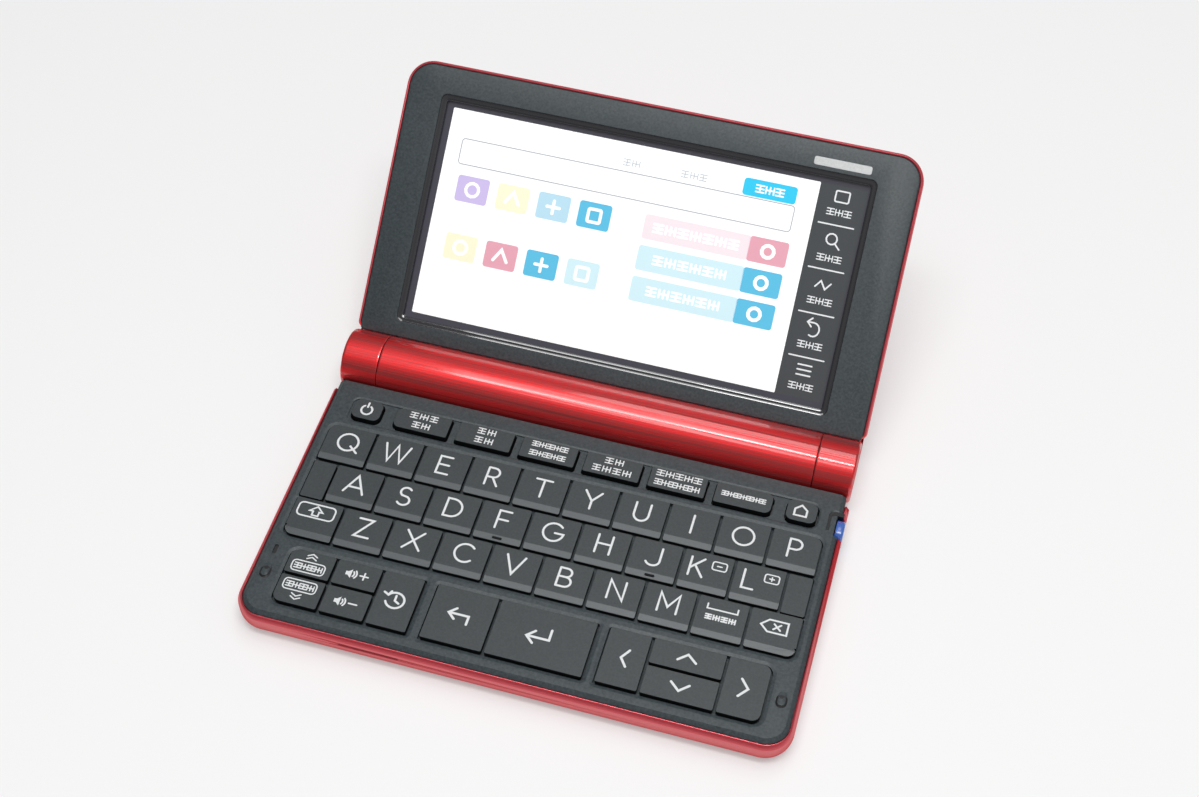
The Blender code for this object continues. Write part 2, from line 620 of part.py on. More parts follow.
def pocket(x0, x1, y0, y1, radii, floor_z, flare=POCKET_FLARE):
    """Cutter rings of a pocket whose rim is chamfered, from its floor to above the panel."""
    wide = [radius + flare for radius in radii]
    top = OVERRUN
    return [ring(outline(x0, x1, y0, y1, radii, KEY_STEPS), floor_z),
            ring(outline(x0, x1, y0, y1, radii, KEY_STEPS), -flare),
            ring(outline(x0 - flare, x1 + flare, y0 - flare, y1 + flare, wide, KEY_STEPS), 0.0),
            ring(outline(x0 - flare, x1 + flare, y0 - flare, y1 + flare, wide, KEY_STEPS), top)]


def key_boxes():
    """Every key that stands in a pocket: name, footprint, corner radii and the depth of its front slope."""
    keys = []
    small = KEY_CORNER
    large = BLOCK_CORNER
    for row, names in enumerate(LETTER_ROWS):
        centre_y = FIRST_ROW_Y - row * ROW_PITCH
        for index, name in enumerate(names):
            x = (index - (len(names) - 1) / 2) * LETTER_PITCH
            first = index == 0
            last = index == len(names) - 1
            radii = (large if row == 2 and first else small, large if row == 2 and last else small,
                     large if row == 0 and last else small, large if row == 0 and first else small)
            keys.append((f"key_{name}", x - LETTER_WIDTH / 2, x + LETTER_WIDTH / 2,
                         centre_y - LETTER_DEPTH / 2, centre_y + LETTER_DEPTH / 2, radii, LETTER_FRONT_SLOPE))
    for shares, columns in CLUSTERS:
        for column, names in enumerate(columns):
            first = column == 0
            last = column == len(columns) - 1
            x0 = HALF_WIDTH * shares[column] + (0.0 if first else KEY_GAP / 2)
            x1 = HALF_WIDTH * shares[column + 1] - (0.0 if last else KEY_GAP / 2)
            for name in names:
                rear = name == names[0]
                front = name == names[-1]
                y0 = CLUSTER_FRONT_Y if front else CLUSTER_SPLIT_Y + KEY_GAP / 2
                y1 = CLUSTER_REAR_Y if rear else CLUSTER_SPLIT_Y - KEY_GAP / 2
                radii = (large if first and front else small, large if last and front else small,
                         large if last and rear else small, large if first and rear else small)
                keys.append((f"key_{name}", x0, x1, y0, y1, radii, KEY_CROWN_INSET))
    return keys


def build_panel(keys):
    """Slate panel: a stepped slab with flared pockets, post holes, openings for the rear row and two bumps."""
    rear_radius = REAR_CORNER_RADIUS
    rounds = LIP_WALL + PANEL_GAP
    slab = CASE_WALL + PANEL_SLAB_GAP
    edge = base_outline(rounds, rear_y=CASE_REAR_Y, rear_radius=rear_radius)
    crown = base_outline(rounds + PANEL_ROUND, rear_y=CASE_REAR_Y - PANEL_ROUND, rear_radius=rear_radius)
    inner = base_outline(slab, rear_y=CASE_REAR_Y - slab, rear_radius=rear_radius)
    panel = loft("keyboard_panel", [ring(inner, -PANEL_SLAB), ring(inner, -PANEL_EDGE), ring(edge, -PANEL_EDGE),
                                    ring(edge, -PANEL_ROUND), ring(crown, 0.0)], SLATE, BASE)

    for index, (x0, x1, y0, y1, radii) in enumerate(pocket_boxes()):
        cut(panel, loft(f"pocket_{index}", pocket(x0, x1, y0, y1, radii, -POCKET_DEPTH), None, BASE))
    holes = bmesh.new()
    for name, x0, x1, y0, y1, radii, slope in keys:
        x = (x0 + x1) / 2
        y = (y0 + y1) / 2
        add_box(holes, x - POST_WIDTH / 2 - KEY_CLEARANCE, x + POST_WIDTH / 2 + KEY_CLEARANCE,
                y - POST_DEPTH / 2 - KEY_CLEARANCE, y + POST_DEPTH / 2 + KEY_CLEARANCE,
                -PANEL_SLAB - OVERRUN, -POCKET_DEPTH + OVERRUN / 2)
    cut(panel, place("post_holes", holes, None, BASE))

    reach = ROUND_KEY_X + ROUND_KEY_WIDTH / 2 + FUNCTION_MARGIN
    depth = FUNCTION_DEPTH / 2 + FUNCTION_MARGIN
    corner = [FUNCTION_CORNER + FUNCTION_MARGIN] * 4
    cut(panel, loft("function_recess", pocket(-reach, reach, FUNCTION_Y - depth, FUNCTION_Y + depth, corner,
                                              -FUNCTION_RECESS, FUNCTION_FLARE), None, BASE))
    openings = bmesh.new()
    for x, width, radii in function_keys():
        half = width / 2 + KEY_CLEARANCE
        depth = FUNCTION_DEPTH / 2 + KEY_CLEARANCE
        corner = [radius + KEY_CLEARANCE for radius in radii]
        plan = outline(x - half, x + half, FUNCTION_Y - depth, FUNCTION_Y + depth, corner, KEY_STEPS)
        skin(openings, [ring(plan, z) for z in (-PANEL_SLAB - OVERRUN, OVERRUN)])
    cut(panel, place("function_openings", openings, None, BASE))

    recess = pocket(HALF_WIDTH - RECESS_WIDTH, HALF_WIDTH + OVERRUN, STYLUS_Y - RECESS_FRONT_REACH,
                    STYLUS_Y + RECESS_REAR_REACH, [RECESS_CORNER] * 4, -RECESS_DEPTH)
    cut(panel, loft("stylus_recess", recess, None, BASE))
    cut(panel, stylus_way("panel_tail_notch"))
    cut(panel, loft("microphone_slot", [ring(outline(-MARK_X - MIC_WIDTH / 2, -MARK_X + MIC_WIDTH / 2,
                                                     MIC_Y - MIC_LENGTH / 2, MIC_Y + MIC_LENGTH / 2,
                                                     [MIC_WIDTH / 2.2] * 4, KEY_STEPS), z)
                                        for z in (-MIC_DEPTH, OVERRUN)], None, BASE))
    for side in (-1, 1):
        join(panel, build_bump(side))
    return panel


def build_bump(side):
    """A lid stop: a small raised pill whose rear end runs out into the panel."""
    x = side * MARK_X
    foot = outline(x - BUMP_WIDTH / 2, x + BUMP_WIDTH / 2, BUMP_Y - BUMP_LENGTH / 2, BUMP_Y + BUMP_LENGTH / 2,
                   [BUMP_WIDTH / 2.1] * 4, KEY_STEPS)
    share = 0.75
    front = BUMP_Y - BUMP_LENGTH / 2
    top = [(x + (px - x) * share, front + (py - front) * share) for px, py in foot]
    lower = ring(foot, -PANEL_ROUND)
    base = ring(foot, 0.0)
    return loft(f"lid_stop_{'left' if side < 0 else 'right'}", [lower, base, ring(top, BUMP_HEIGHT)], None, BASE)


def pocket_boxes():
    """The three rows of letters and the three front clusters, each as wide as its keys and their clearance."""
    gap = KEY_CLEARANCE
    boxes = []
    for row, names in enumerate(LETTER_ROWS):
        half = len(names) * LETTER_PITCH / 2 - KEY_GAP / 2 + gap
        centre_y = FIRST_ROW_Y - row * ROW_PITCH
        front = centre_y - LETTER_DEPTH / 2 - gap
        rear = centre_y + LETTER_DEPTH / 2 + gap
        front_radius = BLOCK_CORNER + gap if row == 2 else KEY_CORNER + gap
        rear_radius = BLOCK_CORNER + gap if row == 0 else KEY_CORNER + gap
        overlap = KEY_GAP - gap
        front -= overlap if row < 2 else 0.0
        rear += overlap if row == 1 else 0.0
        boxes.append((-half, half, front, rear, (front_radius, front_radius, rear_radius, rear_radius)))
    for shares, columns in CLUSTERS:
        boxes.append((HALF_WIDTH * shares[0] - gap, HALF_WIDTH * shares[-1] + gap, CLUSTER_FRONT_Y - gap,
                      CLUSTER_REAR_Y + gap,
                      [BLOCK_CORNER + gap] * 4))
    return boxes


def function_keys():
    """Centre, width and corner radii of each key of the rear row; the shortcuts are rounded at their row's ends."""
    keys = [(-ROUND_KEY_X, ROUND_KEY_WIDTH, [FUNCTION_CORNER] * 4)]
    for index in range(6):
        left = FUNCTION_CORNER if index == 0 else KEY_CORNER
        right = FUNCTION_CORNER if index == 5 else KEY_CORNER
        keys.append(((index - 2.5) * SHORTCUT_PITCH, SHORTCUT_WIDTH, [left, right, right, left]))
    keys.append((ROUND_KEY_X, ROUND_KEY_WIDTH, [FUNCTION_CORNER] * 4))
    return keys


def cap_rings(x0, x1, y0, y1, radii, front_slope, underside_z, proud=KEY_PROUD, drop=KEY_CROWN_DROP):
    """A keycap's rings: upright skirt, then a crown drawn in on all sides, most at the front."""
    inset = KEY_CROWN_INSET
    crown_radii = [max(radius - inset, inset) for radius in radii]
    foot = outline(x0, x1, y0, y1, radii, KEY_STEPS)
    crown = outline(x0 + inset, x1 - inset, y0 + front_slope, y1 - inset, crown_radii, KEY_STEPS)
    return [ring(foot, underside_z), ring(foot, proud - drop), ring(crown, proud)]


def build_key(name, x0, x1, y0, y1, radii, front_slope):
    """One keycap on its square post."""
    x = (x0 + x1) / 2
    y = (y0 + y1) / 2
    post = outline(x - POST_WIDTH / 2, x + POST_WIDTH / 2, y - POST_DEPTH / 2, y + POST_DEPTH / 2,
                   [POST_CORNER] * 4, KEY_STEPS)
    rings = [ring(post, POST_END_Z), ring(post, KEY_UNDERSIDE_Z)]
    rings += cap_rings(x0, x1, y0, y1, radii, front_slope, KEY_UNDERSIDE_Z)
    key = loft(name, rings, KEY_GREY, BASE, origin=(x, y, KEY_UNDERSIDE_Z))
    if name.removeprefix("key_") in NIB_KEYS:
        nib_y = y0 + front_slope - NIB_DEPTH
        nib = box(f"{name}_nib", x - NIB_WIDTH / 2, x + NIB_WIDTH / 2, nib_y, nib_y + NIB_DEPTH,
                  KEY_PROUD - KEY_CROWN_DROP, KEY_PROUD + NIB_HEIGHT / 2, None, BASE)
        join(key, nib)
    return key


def flanged_cap(shape, x, width, radii, flange):
    """A key of the rear row, put in from below: cap, skirt through the panel and a flange under it."""
    half = width / 2
    front = FUNCTION_Y - FUNCTION_DEPTH / 2
    rear = FUNCTION_Y + FUNCTION_DEPTH / 2
    wide = outline(x - half - flange, x + half + flange, front - flange, rear + flange, radii, KEY_STEPS)
    rings = [ring(wide, RUNNER_END_Z), ring(wide, RUNNER_TOP_Z)] if flange else []
    rings += cap_rings(x - half, x + half, front, rear, radii, KEY_CROWN_INSET, RUNNER_TOP_Z, FUNCTION_PROUD,
                       KEY_CROWN_INSET)
    skin(shape, rings)


def build_function_keys():
    keys = function_keys()
    for name, (x, width, radii) in (("key_power", keys[0]), ("key_home", keys[-1])):
        shape = bmesh.new()
        flanged_cap(shape, x, width, radii, FLANGE)
        place(name, shape, KEY_GREY, BASE, (x, FUNCTION_Y, RUNNER_END_Z))
    shape = bmesh.new()
    for x, width, radii in keys[1:-1]:
        flanged_cap(shape, x, width, radii, 0.0)
    strip = place("shortcut_keys", shape, KEY_GREY, BASE, (0.0, FUNCTION_Y, RUNNER_END_Z))
    reach = SHORTCUTS_HALF - FLANGE
    join(strip, box("shortcut_runner", -reach, reach, FUNCTION_Y - RUNNER_DEPTH / 2, FUNCTION_Y + RUNNER_DEPTH / 2,
                    RUNNER_END_Z, RUNNER_TOP_Z + BITE, None, BASE))


def build_mat(keys):
    """Rubber mat: a thin sheet with a blunt dome under every post."""
    mat = box("key_mat", -MAT_HALF_WIDTH, MAT_HALF_WIDTH, MAT_FRONT_Y, MAT_REAR_Y, MAT_BOTTOM_Z, MAT_TOP_Z, RUBBER,
              BASE)
    shape = bmesh.new()
    foot_z = MAT_TOP_Z - MAT_THICKNESS / 2
    for name, x0, x1, y0, y1, radii, slope in keys:
        made = bmesh.ops.create_cone(shape, cap_ends=True, segments=6, radius1=PAD_WIDTH / 2, radius2=PAD_WIDTH / 3,
                                     depth=PAD_TOP_Z - foot_z)["verts"]
        bmesh.ops.translate(shape, vec=((x0 + x1) / 2, (y0 + y1) / 2, (PAD_TOP_Z + foot_z) / 2), verts=made)
    join(mat, place("mat_domes", shape, None, BASE))


def build_board():
    """Circuit board with its larger chips and connectors on the underside."""
    half = MAT_HALF_WIDTH - BOARD_INSET
    rear = MAT_REAR_Y - BOARD_INSET
    front = MAT_FRONT_Y + BOARD_INSET
    board = box("main_board", -half, half, front, rear, BOARD_BOTTOM_Z, BOARD_TOP_Z, BOARD_GREEN, BASE)
    chips = bmesh.new()
    width_shares = (0.2, 0.12, 0.1, 0.16, 0.08)
    x_shares = (-0.3, 0.25, 0.55, -0.7, 0.8)
    y_shares = (0.45, 0.4, 0.6, 0.3, 0.35)
    for width, x_share, y_share in zip(width_shares, x_shares, y_shares):
        x = half * x_share
        y = front + (rear - front) * y_share
        side = half * width / 2
        add_box(chips, x - side, x + side, y - side, y + side, BOARD_BOTTOM_Z - CHIP_HEIGHT,
                BOARD_BOTTOM_Z + BOARD_THICKNESS / 2)
    join(board, place("chips", chips, None, BASE))


def build_speaker():
    """Oblong speaker behind the slot of the front wall, standing on the floor."""
    front = SPEAKER_FRONT_Y
    floor = CASE_FLOOR_Z + BOSS_GAP
    inset = FOOT_ROUND - CASE_WALL
    speaker = loft("speaker", [
        ring(outline(SLOT_X - SPEAKER_LENGTH / 2, SLOT_X + SPEAKER_LENGTH / 2, front + inset, front + SPEAKER_DEPTH,
                     [KEY_CORNER] * 4, KEY_STEPS), floor),
        ring(outline(SLOT_X - SPEAKER_LENGTH / 2, SLOT_X + SPEAKER_LENGTH / 2, front, front + SPEAKER_DEPTH,
                     [KEY_CORNER] * 4, KEY_STEPS), floor + inset),
        ring(outline(SLOT_X - SPEAKER_LENGTH / 2, SLOT_X + SPEAKER_LENGTH / 2, front, front + SPEAKER_DEPTH,
                     [KEY_CORNER] * 4, KEY_STEPS), floor + SPEAKER_HEIGHT)], BLACK, BASE)
    return speaker


def build_barrel():
    """Front and top skin of the barrel, and the battery cover that closes its rear and underside."""
    drop = math.asin((BARREL_SPLIT_Z - AXIS_Z) / BARREL_RADIUS)
    top = extruded("barrel_cover", arc(BARREL_RADIUS, math.pi - drop, drop, BARREL_STEPS), BARREL_HALF, RED, BARREL)
    solidify(top, BARREL_WALL)

    profile = lower_profile(BARREL_SPLIT_Z - BARREL_GAP, CASE_REAR_Y + BARREL_GAP)
    cover = extruded("battery_cover", profile, COVER_HALF, RED, BARREL)
    solidify(cover, COVER_WALL)
    grips = bmesh.new()
    for index in range(5):
        y = -GRIP_PITCH * (index + 1) / 2
        add_box(grips, -GRIP_LENGTH / 2, GRIP_LENGTH / 2, y - GRIP_WIDTH / 4, y + GRIP_WIDTH / 4,
                -BARREL_RADIUS - OVERRUN, -BARREL_RADIUS + GRIP_DEPTH)
    cut(cover, place("grip_grooves", grips, None, BARREL))


def build_cells():
    for name, start in (("battery_left", -CELL_LENGTH - CELL_GAP / 2), ("battery_right", CELL_GAP / 2)):
        end = start + CELL_LENGTH
        shoulder = end - CELL_BUTTON_LENGTH
        turned(name, [(start, CELL_RADIUS - CELL_ROUND), (start + CELL_ROUND, CELL_RADIUS),
                      (shoulder - CELL_ROUND, CELL_RADIUS), (shoulder, CELL_RADIUS - CELL_ROUND),
                      (shoulder, CELL_BUTTON_RADIUS), (end, CELL_BUTTON_RADIUS)], CELL, BARREL, steps=32)


def build_battery_spring():
    """Coil spring between the left bulkhead and the first cell: one wire, narrowing towards the cell."""
    start = -BULKHEAD_INNER + SPRING_WIRE + CELL_GAP
    end = -CELL_LENGTH - CELL_GAP / 2 - SPRING_WIRE - CELL_GAP
    steps = 12
    count = SPRING_TURNS * steps
    points = []
    for step in range(count + 1):
        share = step / count
        radius = SPRING_RADIUS + (SPRING_TIP_RADIUS - SPRING_RADIUS) * share
        turn = math.tau * step / steps
        points.append((start + (end - start) * share, radius * math.cos(turn), radius * math.sin(turn)))
    curve = bpy.data.curves.new("battery_spring", "CURVE")
    curve.dimensions = "3D"
    curve.bevel_depth = SPRING_WIRE
    curve.bevel_resolution = 1
    curve.use_fill_caps = True
    line = curve.splines.new("POLY")
    line.points.add(len(points) - 1)
    for control, point in zip(line.points, points):
        control.co = (*point, 1.0)
    spring = bpy.data.objects.new("battery_spring", curve)
    curve.materials.append(STEEL)
    PARTS.objects.link(spring)
    spring.parent = BARREL


def build_hinges():
    """Friction hinges: washers between bulkhead and end plate, a shaft, and a square tang in the knuckle."""
    room_start = BULKHEAD_INNER + BULKHEAD_THICKNESS
    room = END_PLATE_INNER - room_start
    pitch = (room - HINGE_CLEARANCE) / HINGE_WASHERS
    for side in (-1, 1):
        profile = [(room_start - BULKHEAD_THICKNESS / 2, HINGE_SHAFT_RADIUS)]
        for index in range(HINGE_WASHERS):
            x = room_start + HINGE_CLEARANCE + pitch * index
            thickness = pitch - HINGE_CLEARANCE
            profile += [(x, HINGE_SHAFT_RADIUS), (x, HINGE_WASHER_RADIUS), (x + thickness, HINGE_WASHER_RADIUS),
                        (x + thickness, HINGE_SHAFT_RADIUS)]
        tang_start = KNUCKLE_INNER + HINGE_CLEARANCE
        profile.append((tang_start + OVERRUN, HINGE_SHAFT_RADIUS))
        profile = [(side * x, radius) for x, radius in profile][::side]
        tag = "left" if side < 0 else "right"
        hinge = turned(f"hinge_{tag}", profile, STEEL, LID, steps=16)
        ends = sorted((side * tang_start, side * HINGE_OUTER))
        join(hinge, box(f"tang_{tag}", *ends, -HINGE_TANG / 2, HINGE_TANG / 2, -HINGE_TANG / 2, HINGE_TANG / 2,
                        None, LID))


def build_stylus():
    """Oval tail flush with the case's side, then a thin shaft with a tapered tip."""
    points = oval(STYLUS_Y, STYLUS_TAIL_Z, STYLUS_TAIL_HALF_WIDTH, STYLUS_TAIL_HALF_HEIGHT)
    share = 0.8
    blunt = oval(STYLUS_Y, STYLUS_TAIL_Z, STYLUS_TAIL_HALF_WIDTH * share, STYLUS_TAIL_HALF_HEIGHT * share)
    start = HALF_WIDTH - STYLUS_TAIL_LENGTH
    rounding = STYLUS_TAIL_HALF_WIDTH * (1 - share)
    rings = [(start, points), (HALF_WIDTH - rounding, points), (HALF_WIDTH, blunt)]
    stylus = loft("stylus", [[(x, y, z) for y, z in outline_points] for x, outline_points in rings], BLUE, BASE,
                  origin=(start, STYLUS_Y, STYLUS_SHAFT_Z))
    tip = HALF_WIDTH - STYLUS_LENGTH
    join(stylus, turned("stylus_shaft", [(tip, STYLUS_TIP_RADIUS), (tip + STYLUS_TIP_LENGTH, STYLUS_SHAFT_RADIUS),
                                         (start + OVERRUN, STYLUS_SHAFT_RADIUS)], None, BASE, 12,
                        (0.0, STYLUS_Y, STYLUS_SHAFT_Z)))


def lid_outline(inset, bottom_y=LID_BOTTOM_Y):
    radius = LID_CORNER_RADIUS - inset
    foot = LID_BOTTOM_CORNER
    return outline(-HALF_WIDTH + inset, HALF_WIDTH - inset, bottom_y, LID_TOP_Y - inset, (foot, foot, radius, radius))


def build_lid_cover():
    """Red shell of the lid with a hinge knuckle moulded on each lower corner."""
    cover, cavity = build_shell("lid_cover", lambda inset, wall: lid_outline(inset, LID_BOTTOM_Y + wall),
                                BEZEL_Z - RIM_DROP, LID_BACK_Z, LID_WALL, LID_ROUND, LID_SIDE)
    cover.parent = LID
    cavity.parent = LID
    cut(cover, loft("bezel_seat", [ring(lid_outline(LIP_WALL, LID_BOTTOM_Y - OVERRUN), z)
                                   for z in (BEZEL_Z - BEZEL_EDGE - BOSS_GAP, BEZEL_Z + OVERRUN)], None, LID))
    for side in (-1, 1):
        tag = "left" if side < 0 else "right"
        join(cover, build_knuckle(f"knuckle_{tag}", side))
        half = HINGE_TANG / 2 + HINGE_CLEARANCE
        ends = sorted((side * (KNUCKLE_INNER - OVERRUN), side * (HINGE_OUTER + HINGE_CLEARANCE)))
        cut(cover, box(f"tang_bore_{tag}", *ends, -half, half, -half, half, None, LID))


def build_knuckle(name, side):
    """Round about the axis, flat towards the lid, with its outer end rounded over."""
    top = BEZEL_Z - BEZEL_EDGE - BOSS_GAP - BITE
    start = math.asin(top / BARREL_RADIUS)
    end = math.tau - math.pi / 2 - math.acos((BARREL_RADIUS - BARREL_STEP) / BARREL_RADIUS)
    end += math.acos((BARREL_RADIUS - BARREL_STEP) / BARREL_RADIUS) * 2
    profile = arc(BARREL_RADIUS, start, end, BARREL_STEPS)
    reach = LID_BOTTOM_Y + NECK_REACH
    profile += [(reach, BARREL_STEP - BARREL_RADIUS), (reach, top)]
    rings = [(KNUCKLE_INNER, 0.0)]
    steps = 3
    for step in range(steps + 1):
        turn = math.pi / 2 * step / steps
        rings.append((KNUCKLE_OUTER - KNUCKLE_ROUND * (1 - math.sin(turn)), KNUCKLE_ROUND * (1 - math.cos(turn))))
    shrunk = [(side * x, 1 - inset / BARREL_RADIUS) for x, inset in rings][::side]
    return loft(name, [[(x, y * share, z * share) for y, z in profile] for x, share in shrunk], None, LID)


def build_bezel():
    """Slate frame: a stepped plate whose window slopes inwards to the glass."""
    rounds = LIP_WALL + BEZEL_GAP
    edge = lid_outline(rounds, BEZEL_BOTTOM_Y)
    crown = lid_outline(rounds + PANEL_ROUND, BEZEL_BOTTOM_Y + PANEL_ROUND)
    inner = lid_outline(rounds + BEZEL_SLAB_INSET, LID_BOTTOM_Y + BEZEL_SLAB_INSET + PANEL_ROUND)
    bezel = loft("lid_bezel", [ring(inner, BEZEL_Z - BEZEL_SLAB), ring(inner, BEZEL_Z - BEZEL_EDGE),
                               ring(edge, BEZEL_Z - BEZEL_EDGE), ring(edge, BEZEL_Z - PANEL_ROUND),
                               ring(crown, BEZEL_Z)], SLATE, LID)
    slope = WINDOW_SLOPE
    narrow = [max(WINDOW_CORNER - slope, WINDOW_CORNER / 2)] * 4
    opening = outline(WINDOW_LEFT, WINDOW_RIGHT, WINDOW_BOTTOM, WINDOW_TOP, [WINDOW_CORNER] * 4)
    throat = outline(WINDOW_LEFT + slope, WINDOW_RIGHT - slope, WINDOW_BOTTOM + slope, WINDOW_TOP - slope, narrow)
    cut(bezel, loft("window", [ring(throat, BEZEL_Z - BEZEL_SLAB - OVERRUN), ring(throat, BEZEL_Z - BEZEL_EDGE),
                               ring(opening, BEZEL_Z), ring(opening, BEZEL_Z + OVERRUN)], None, LID))


def window_outline(overlap):
    """The window's throat widened on every side."""
    edge = WINDOW_SLOPE - overlap
    return outline(WINDOW_LEFT + edge, WINDOW_RIGHT - edge, WINDOW_BOTTOM + edge, WINDOW_TOP - edge,
                   [WINDOW_CORNER / 2] * 4, KEY_STEPS)


def build_screen():
    glass = window_outline(GLASS_OVERLAP)
    loft("touch_panel", [ring(glass, GLASS_BACK_Z), ring(glass, GLASS_FRONT_Z)], BLACK_GLASS, LID)
    module = window_outline(GLASS_OVERLAP - LCD_INSET)
    face = window_outline(GLASS_OVERLAP - LCD_INSET - LCD_EDGE)
    loft("lcd_module", [ring(module, LCD_BACK_Z), ring(module, LCD_FRONT_Z - LCD_EDGE / 2),
                        ring(face, LCD_FRONT_Z)], STEEL, LID)


KEYS = key_boxes()
build_bottom_case()
build_panel(KEYS)
for key in KEYS:
    build_key(*key)
build_function_keys()
build_mat(KEYS)
build_board()
build_speaker()
build_barrel()
build_cells()
build_battery_spring()
build_hinges()
build_stylus()
build_lid_cover()
build_bezel()
build_screen()
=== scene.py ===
import math

import bmesh
import bpy
from mathutils import Matrix, Vector


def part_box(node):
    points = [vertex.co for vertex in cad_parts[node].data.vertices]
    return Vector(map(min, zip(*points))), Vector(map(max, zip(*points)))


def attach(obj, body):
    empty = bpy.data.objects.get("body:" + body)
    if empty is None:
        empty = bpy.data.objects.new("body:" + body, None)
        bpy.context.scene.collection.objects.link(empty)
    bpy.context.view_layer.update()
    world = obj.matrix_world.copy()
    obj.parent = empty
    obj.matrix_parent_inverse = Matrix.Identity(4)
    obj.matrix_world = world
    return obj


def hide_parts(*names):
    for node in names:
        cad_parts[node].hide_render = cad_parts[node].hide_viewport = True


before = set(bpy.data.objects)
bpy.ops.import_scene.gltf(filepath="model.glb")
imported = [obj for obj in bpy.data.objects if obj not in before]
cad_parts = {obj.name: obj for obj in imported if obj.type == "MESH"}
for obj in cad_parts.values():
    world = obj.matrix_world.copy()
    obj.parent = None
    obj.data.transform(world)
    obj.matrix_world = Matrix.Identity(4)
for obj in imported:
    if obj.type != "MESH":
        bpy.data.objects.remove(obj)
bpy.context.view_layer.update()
bare_scene = bpy.context.scene

# Bottom case. A tray moulded in red metallic plastic under a clear gloss, which holds everything in the base.
# Its rim is chamfered and its foot rounded; the bulkheads that carry the cells and hinges are moulded on its
# rear. The base is drawn in millimetres, with z at 0 on the keyboard panel's face.
MM = 0.001
HALF_WIDTH = 74.0
FRONT_Y = -50.95
CASE_REAR_Y = 27.85
CASE_BOTTOM = -9.66
CASE_WALL = 1.45
CASE_CORNER = 7.6
CORNER_STEPS = 14
SIDE_GUARD = 0.4
CASE_FOOT_WIDTH = 4.2
CASE_FOOT_HEIGHT = 5.2
RIM_SEAT = -1.6
AXIS_Y = 36.71
AXIS_Z = -1.19
STYLUS_Y = 17.6
TAIL_Z = -4.08
TAIL_HALF_HEIGHT = 3.83
NOTCH_X = 71.2
NOTCH_HALF_WIDTH = 3.5
BORE_Z = -6.65
SINK_X = 60.0
FOOT_YS = (-36.0, 9.0)
SCREW_YS = (-24.0, 19.5)
OUTSIDE_X = 75.0
ABOVE_FACE = 1.0
ORIGIN_Y = 28.27482
BASE_PLACE = Matrix.Translation((0.0, -ORIGIN_Y * MM, -CASE_BOTTOM * MM)) @ Matrix.Scale(MM, 4)


def wire(tree, *pairs):
    """Joins an output to an input for each pair of (node, socket name)."""
    for (source, output), (target, entry) in pairs:
        tree.links.new(source.outputs[output], target.inputs[entry])


def paint_shop_group(name, takes, gives):
    """An empty shader group with its inputs, each with a starting value, and its outputs."""
    group = bpy.data.node_groups.new(name, "ShaderNodeTree")
    for label, value in takes.items():
        kind = "NodeSocketColor" if isinstance(value, tuple) else "NodeSocketFloat"
        entry = group.interface.new_socket(label, in_out="INPUT", socket_type=kind)
        entry.default_value = value
    for label in gives:
        kind = "NodeSocketColor" if label == "Colour" else "NodeSocketFloat"
        group.interface.new_socket(label, in_out="OUTPUT", socket_type=kind)
    return group, group.nodes.new("NodeGroupInput"), group.nodes.new("NodeGroupOutput")


def maths(tree, operation, second=None, third=None, clamp=False):
    """A node that reckons with the value it is fed and up to two fixed ones."""
    node = tree.nodes.new("ShaderNodeMath")
    node.operation = operation
    node.use_clamp = clamp
    if second is not None:
        node.inputs[1].default_value = second
    if third is not None:
        node.inputs[2].default_value = third
    return node


def drawn_noise(group, scale, detail):
    """Noise drawn out lengthwise, as the polished mould draws the flakes."""
    stretch = group.nodes.new("ShaderNodeMapping")
    stretch.inputs["Scale"].default_value = scale
    noise = group.nodes.new("ShaderNodeTexNoise")
    noise.inputs["Scale"].default_value = 1.0
    noise.inputs["Detail"].default_value = detail
    wire(group, ((stretch, "Vector"), (noise, "Vector")))
    return stretch, noise


# Flake paint: aluminium flakes tinted red, deeper where the coat pools, with fine and broad streaks drawn
# lengthwise. Its gloss output raises the clear coat along the streaks.
flake_paint, given, out = paint_shop_group(
    "red flake paint",
    {"Colour": (0.8, 0.034, 0.038, 1.0), "Deep Colour": (0.34, 0.008, 0.01, 1.0), "Flake Scale": 9000.0,
     "Streak Amount": 1.0, "Roughness": 0.3},
    ("Colour", "Roughness", "Height", "Gloss"))
surface = flake_paint.nodes.new("ShaderNodeTexCoord")
flakes = flake_paint.nodes.new("ShaderNodeTexVoronoi")
fine_stretch, fine_streaks = drawn_noise(flake_paint, (16.0, 2000.0, 2000.0), 2.0)
broad_stretch, broad_streaks = drawn_noise(flake_paint, (3.0, 420.0, 420.0), 1.0)
both_streaks = maths(flake_paint, "ADD")
off_centre = maths(flake_paint, "SUBTRACT", 1.0)
streak_share = maths(flake_paint, "MULTIPLY")
flake_tint = maths(flake_paint, "MULTIPLY_ADD", 0.3, 0.15)
tint_sum = maths(flake_paint, "MULTIPLY_ADD", 1.8, clamp=True)
blend_red = flake_paint.nodes.new("ShaderNodeMix")
blend_red.data_type = "RGBA"
gloss_spread = maths(flake_paint, "MULTIPLY_ADD", 0.1)
streak_lift = maths(flake_paint, "MULTIPLY")
streak_gloss = maths(flake_paint, "MULTIPLY_ADD", 5.0, 0.7, clamp=True)
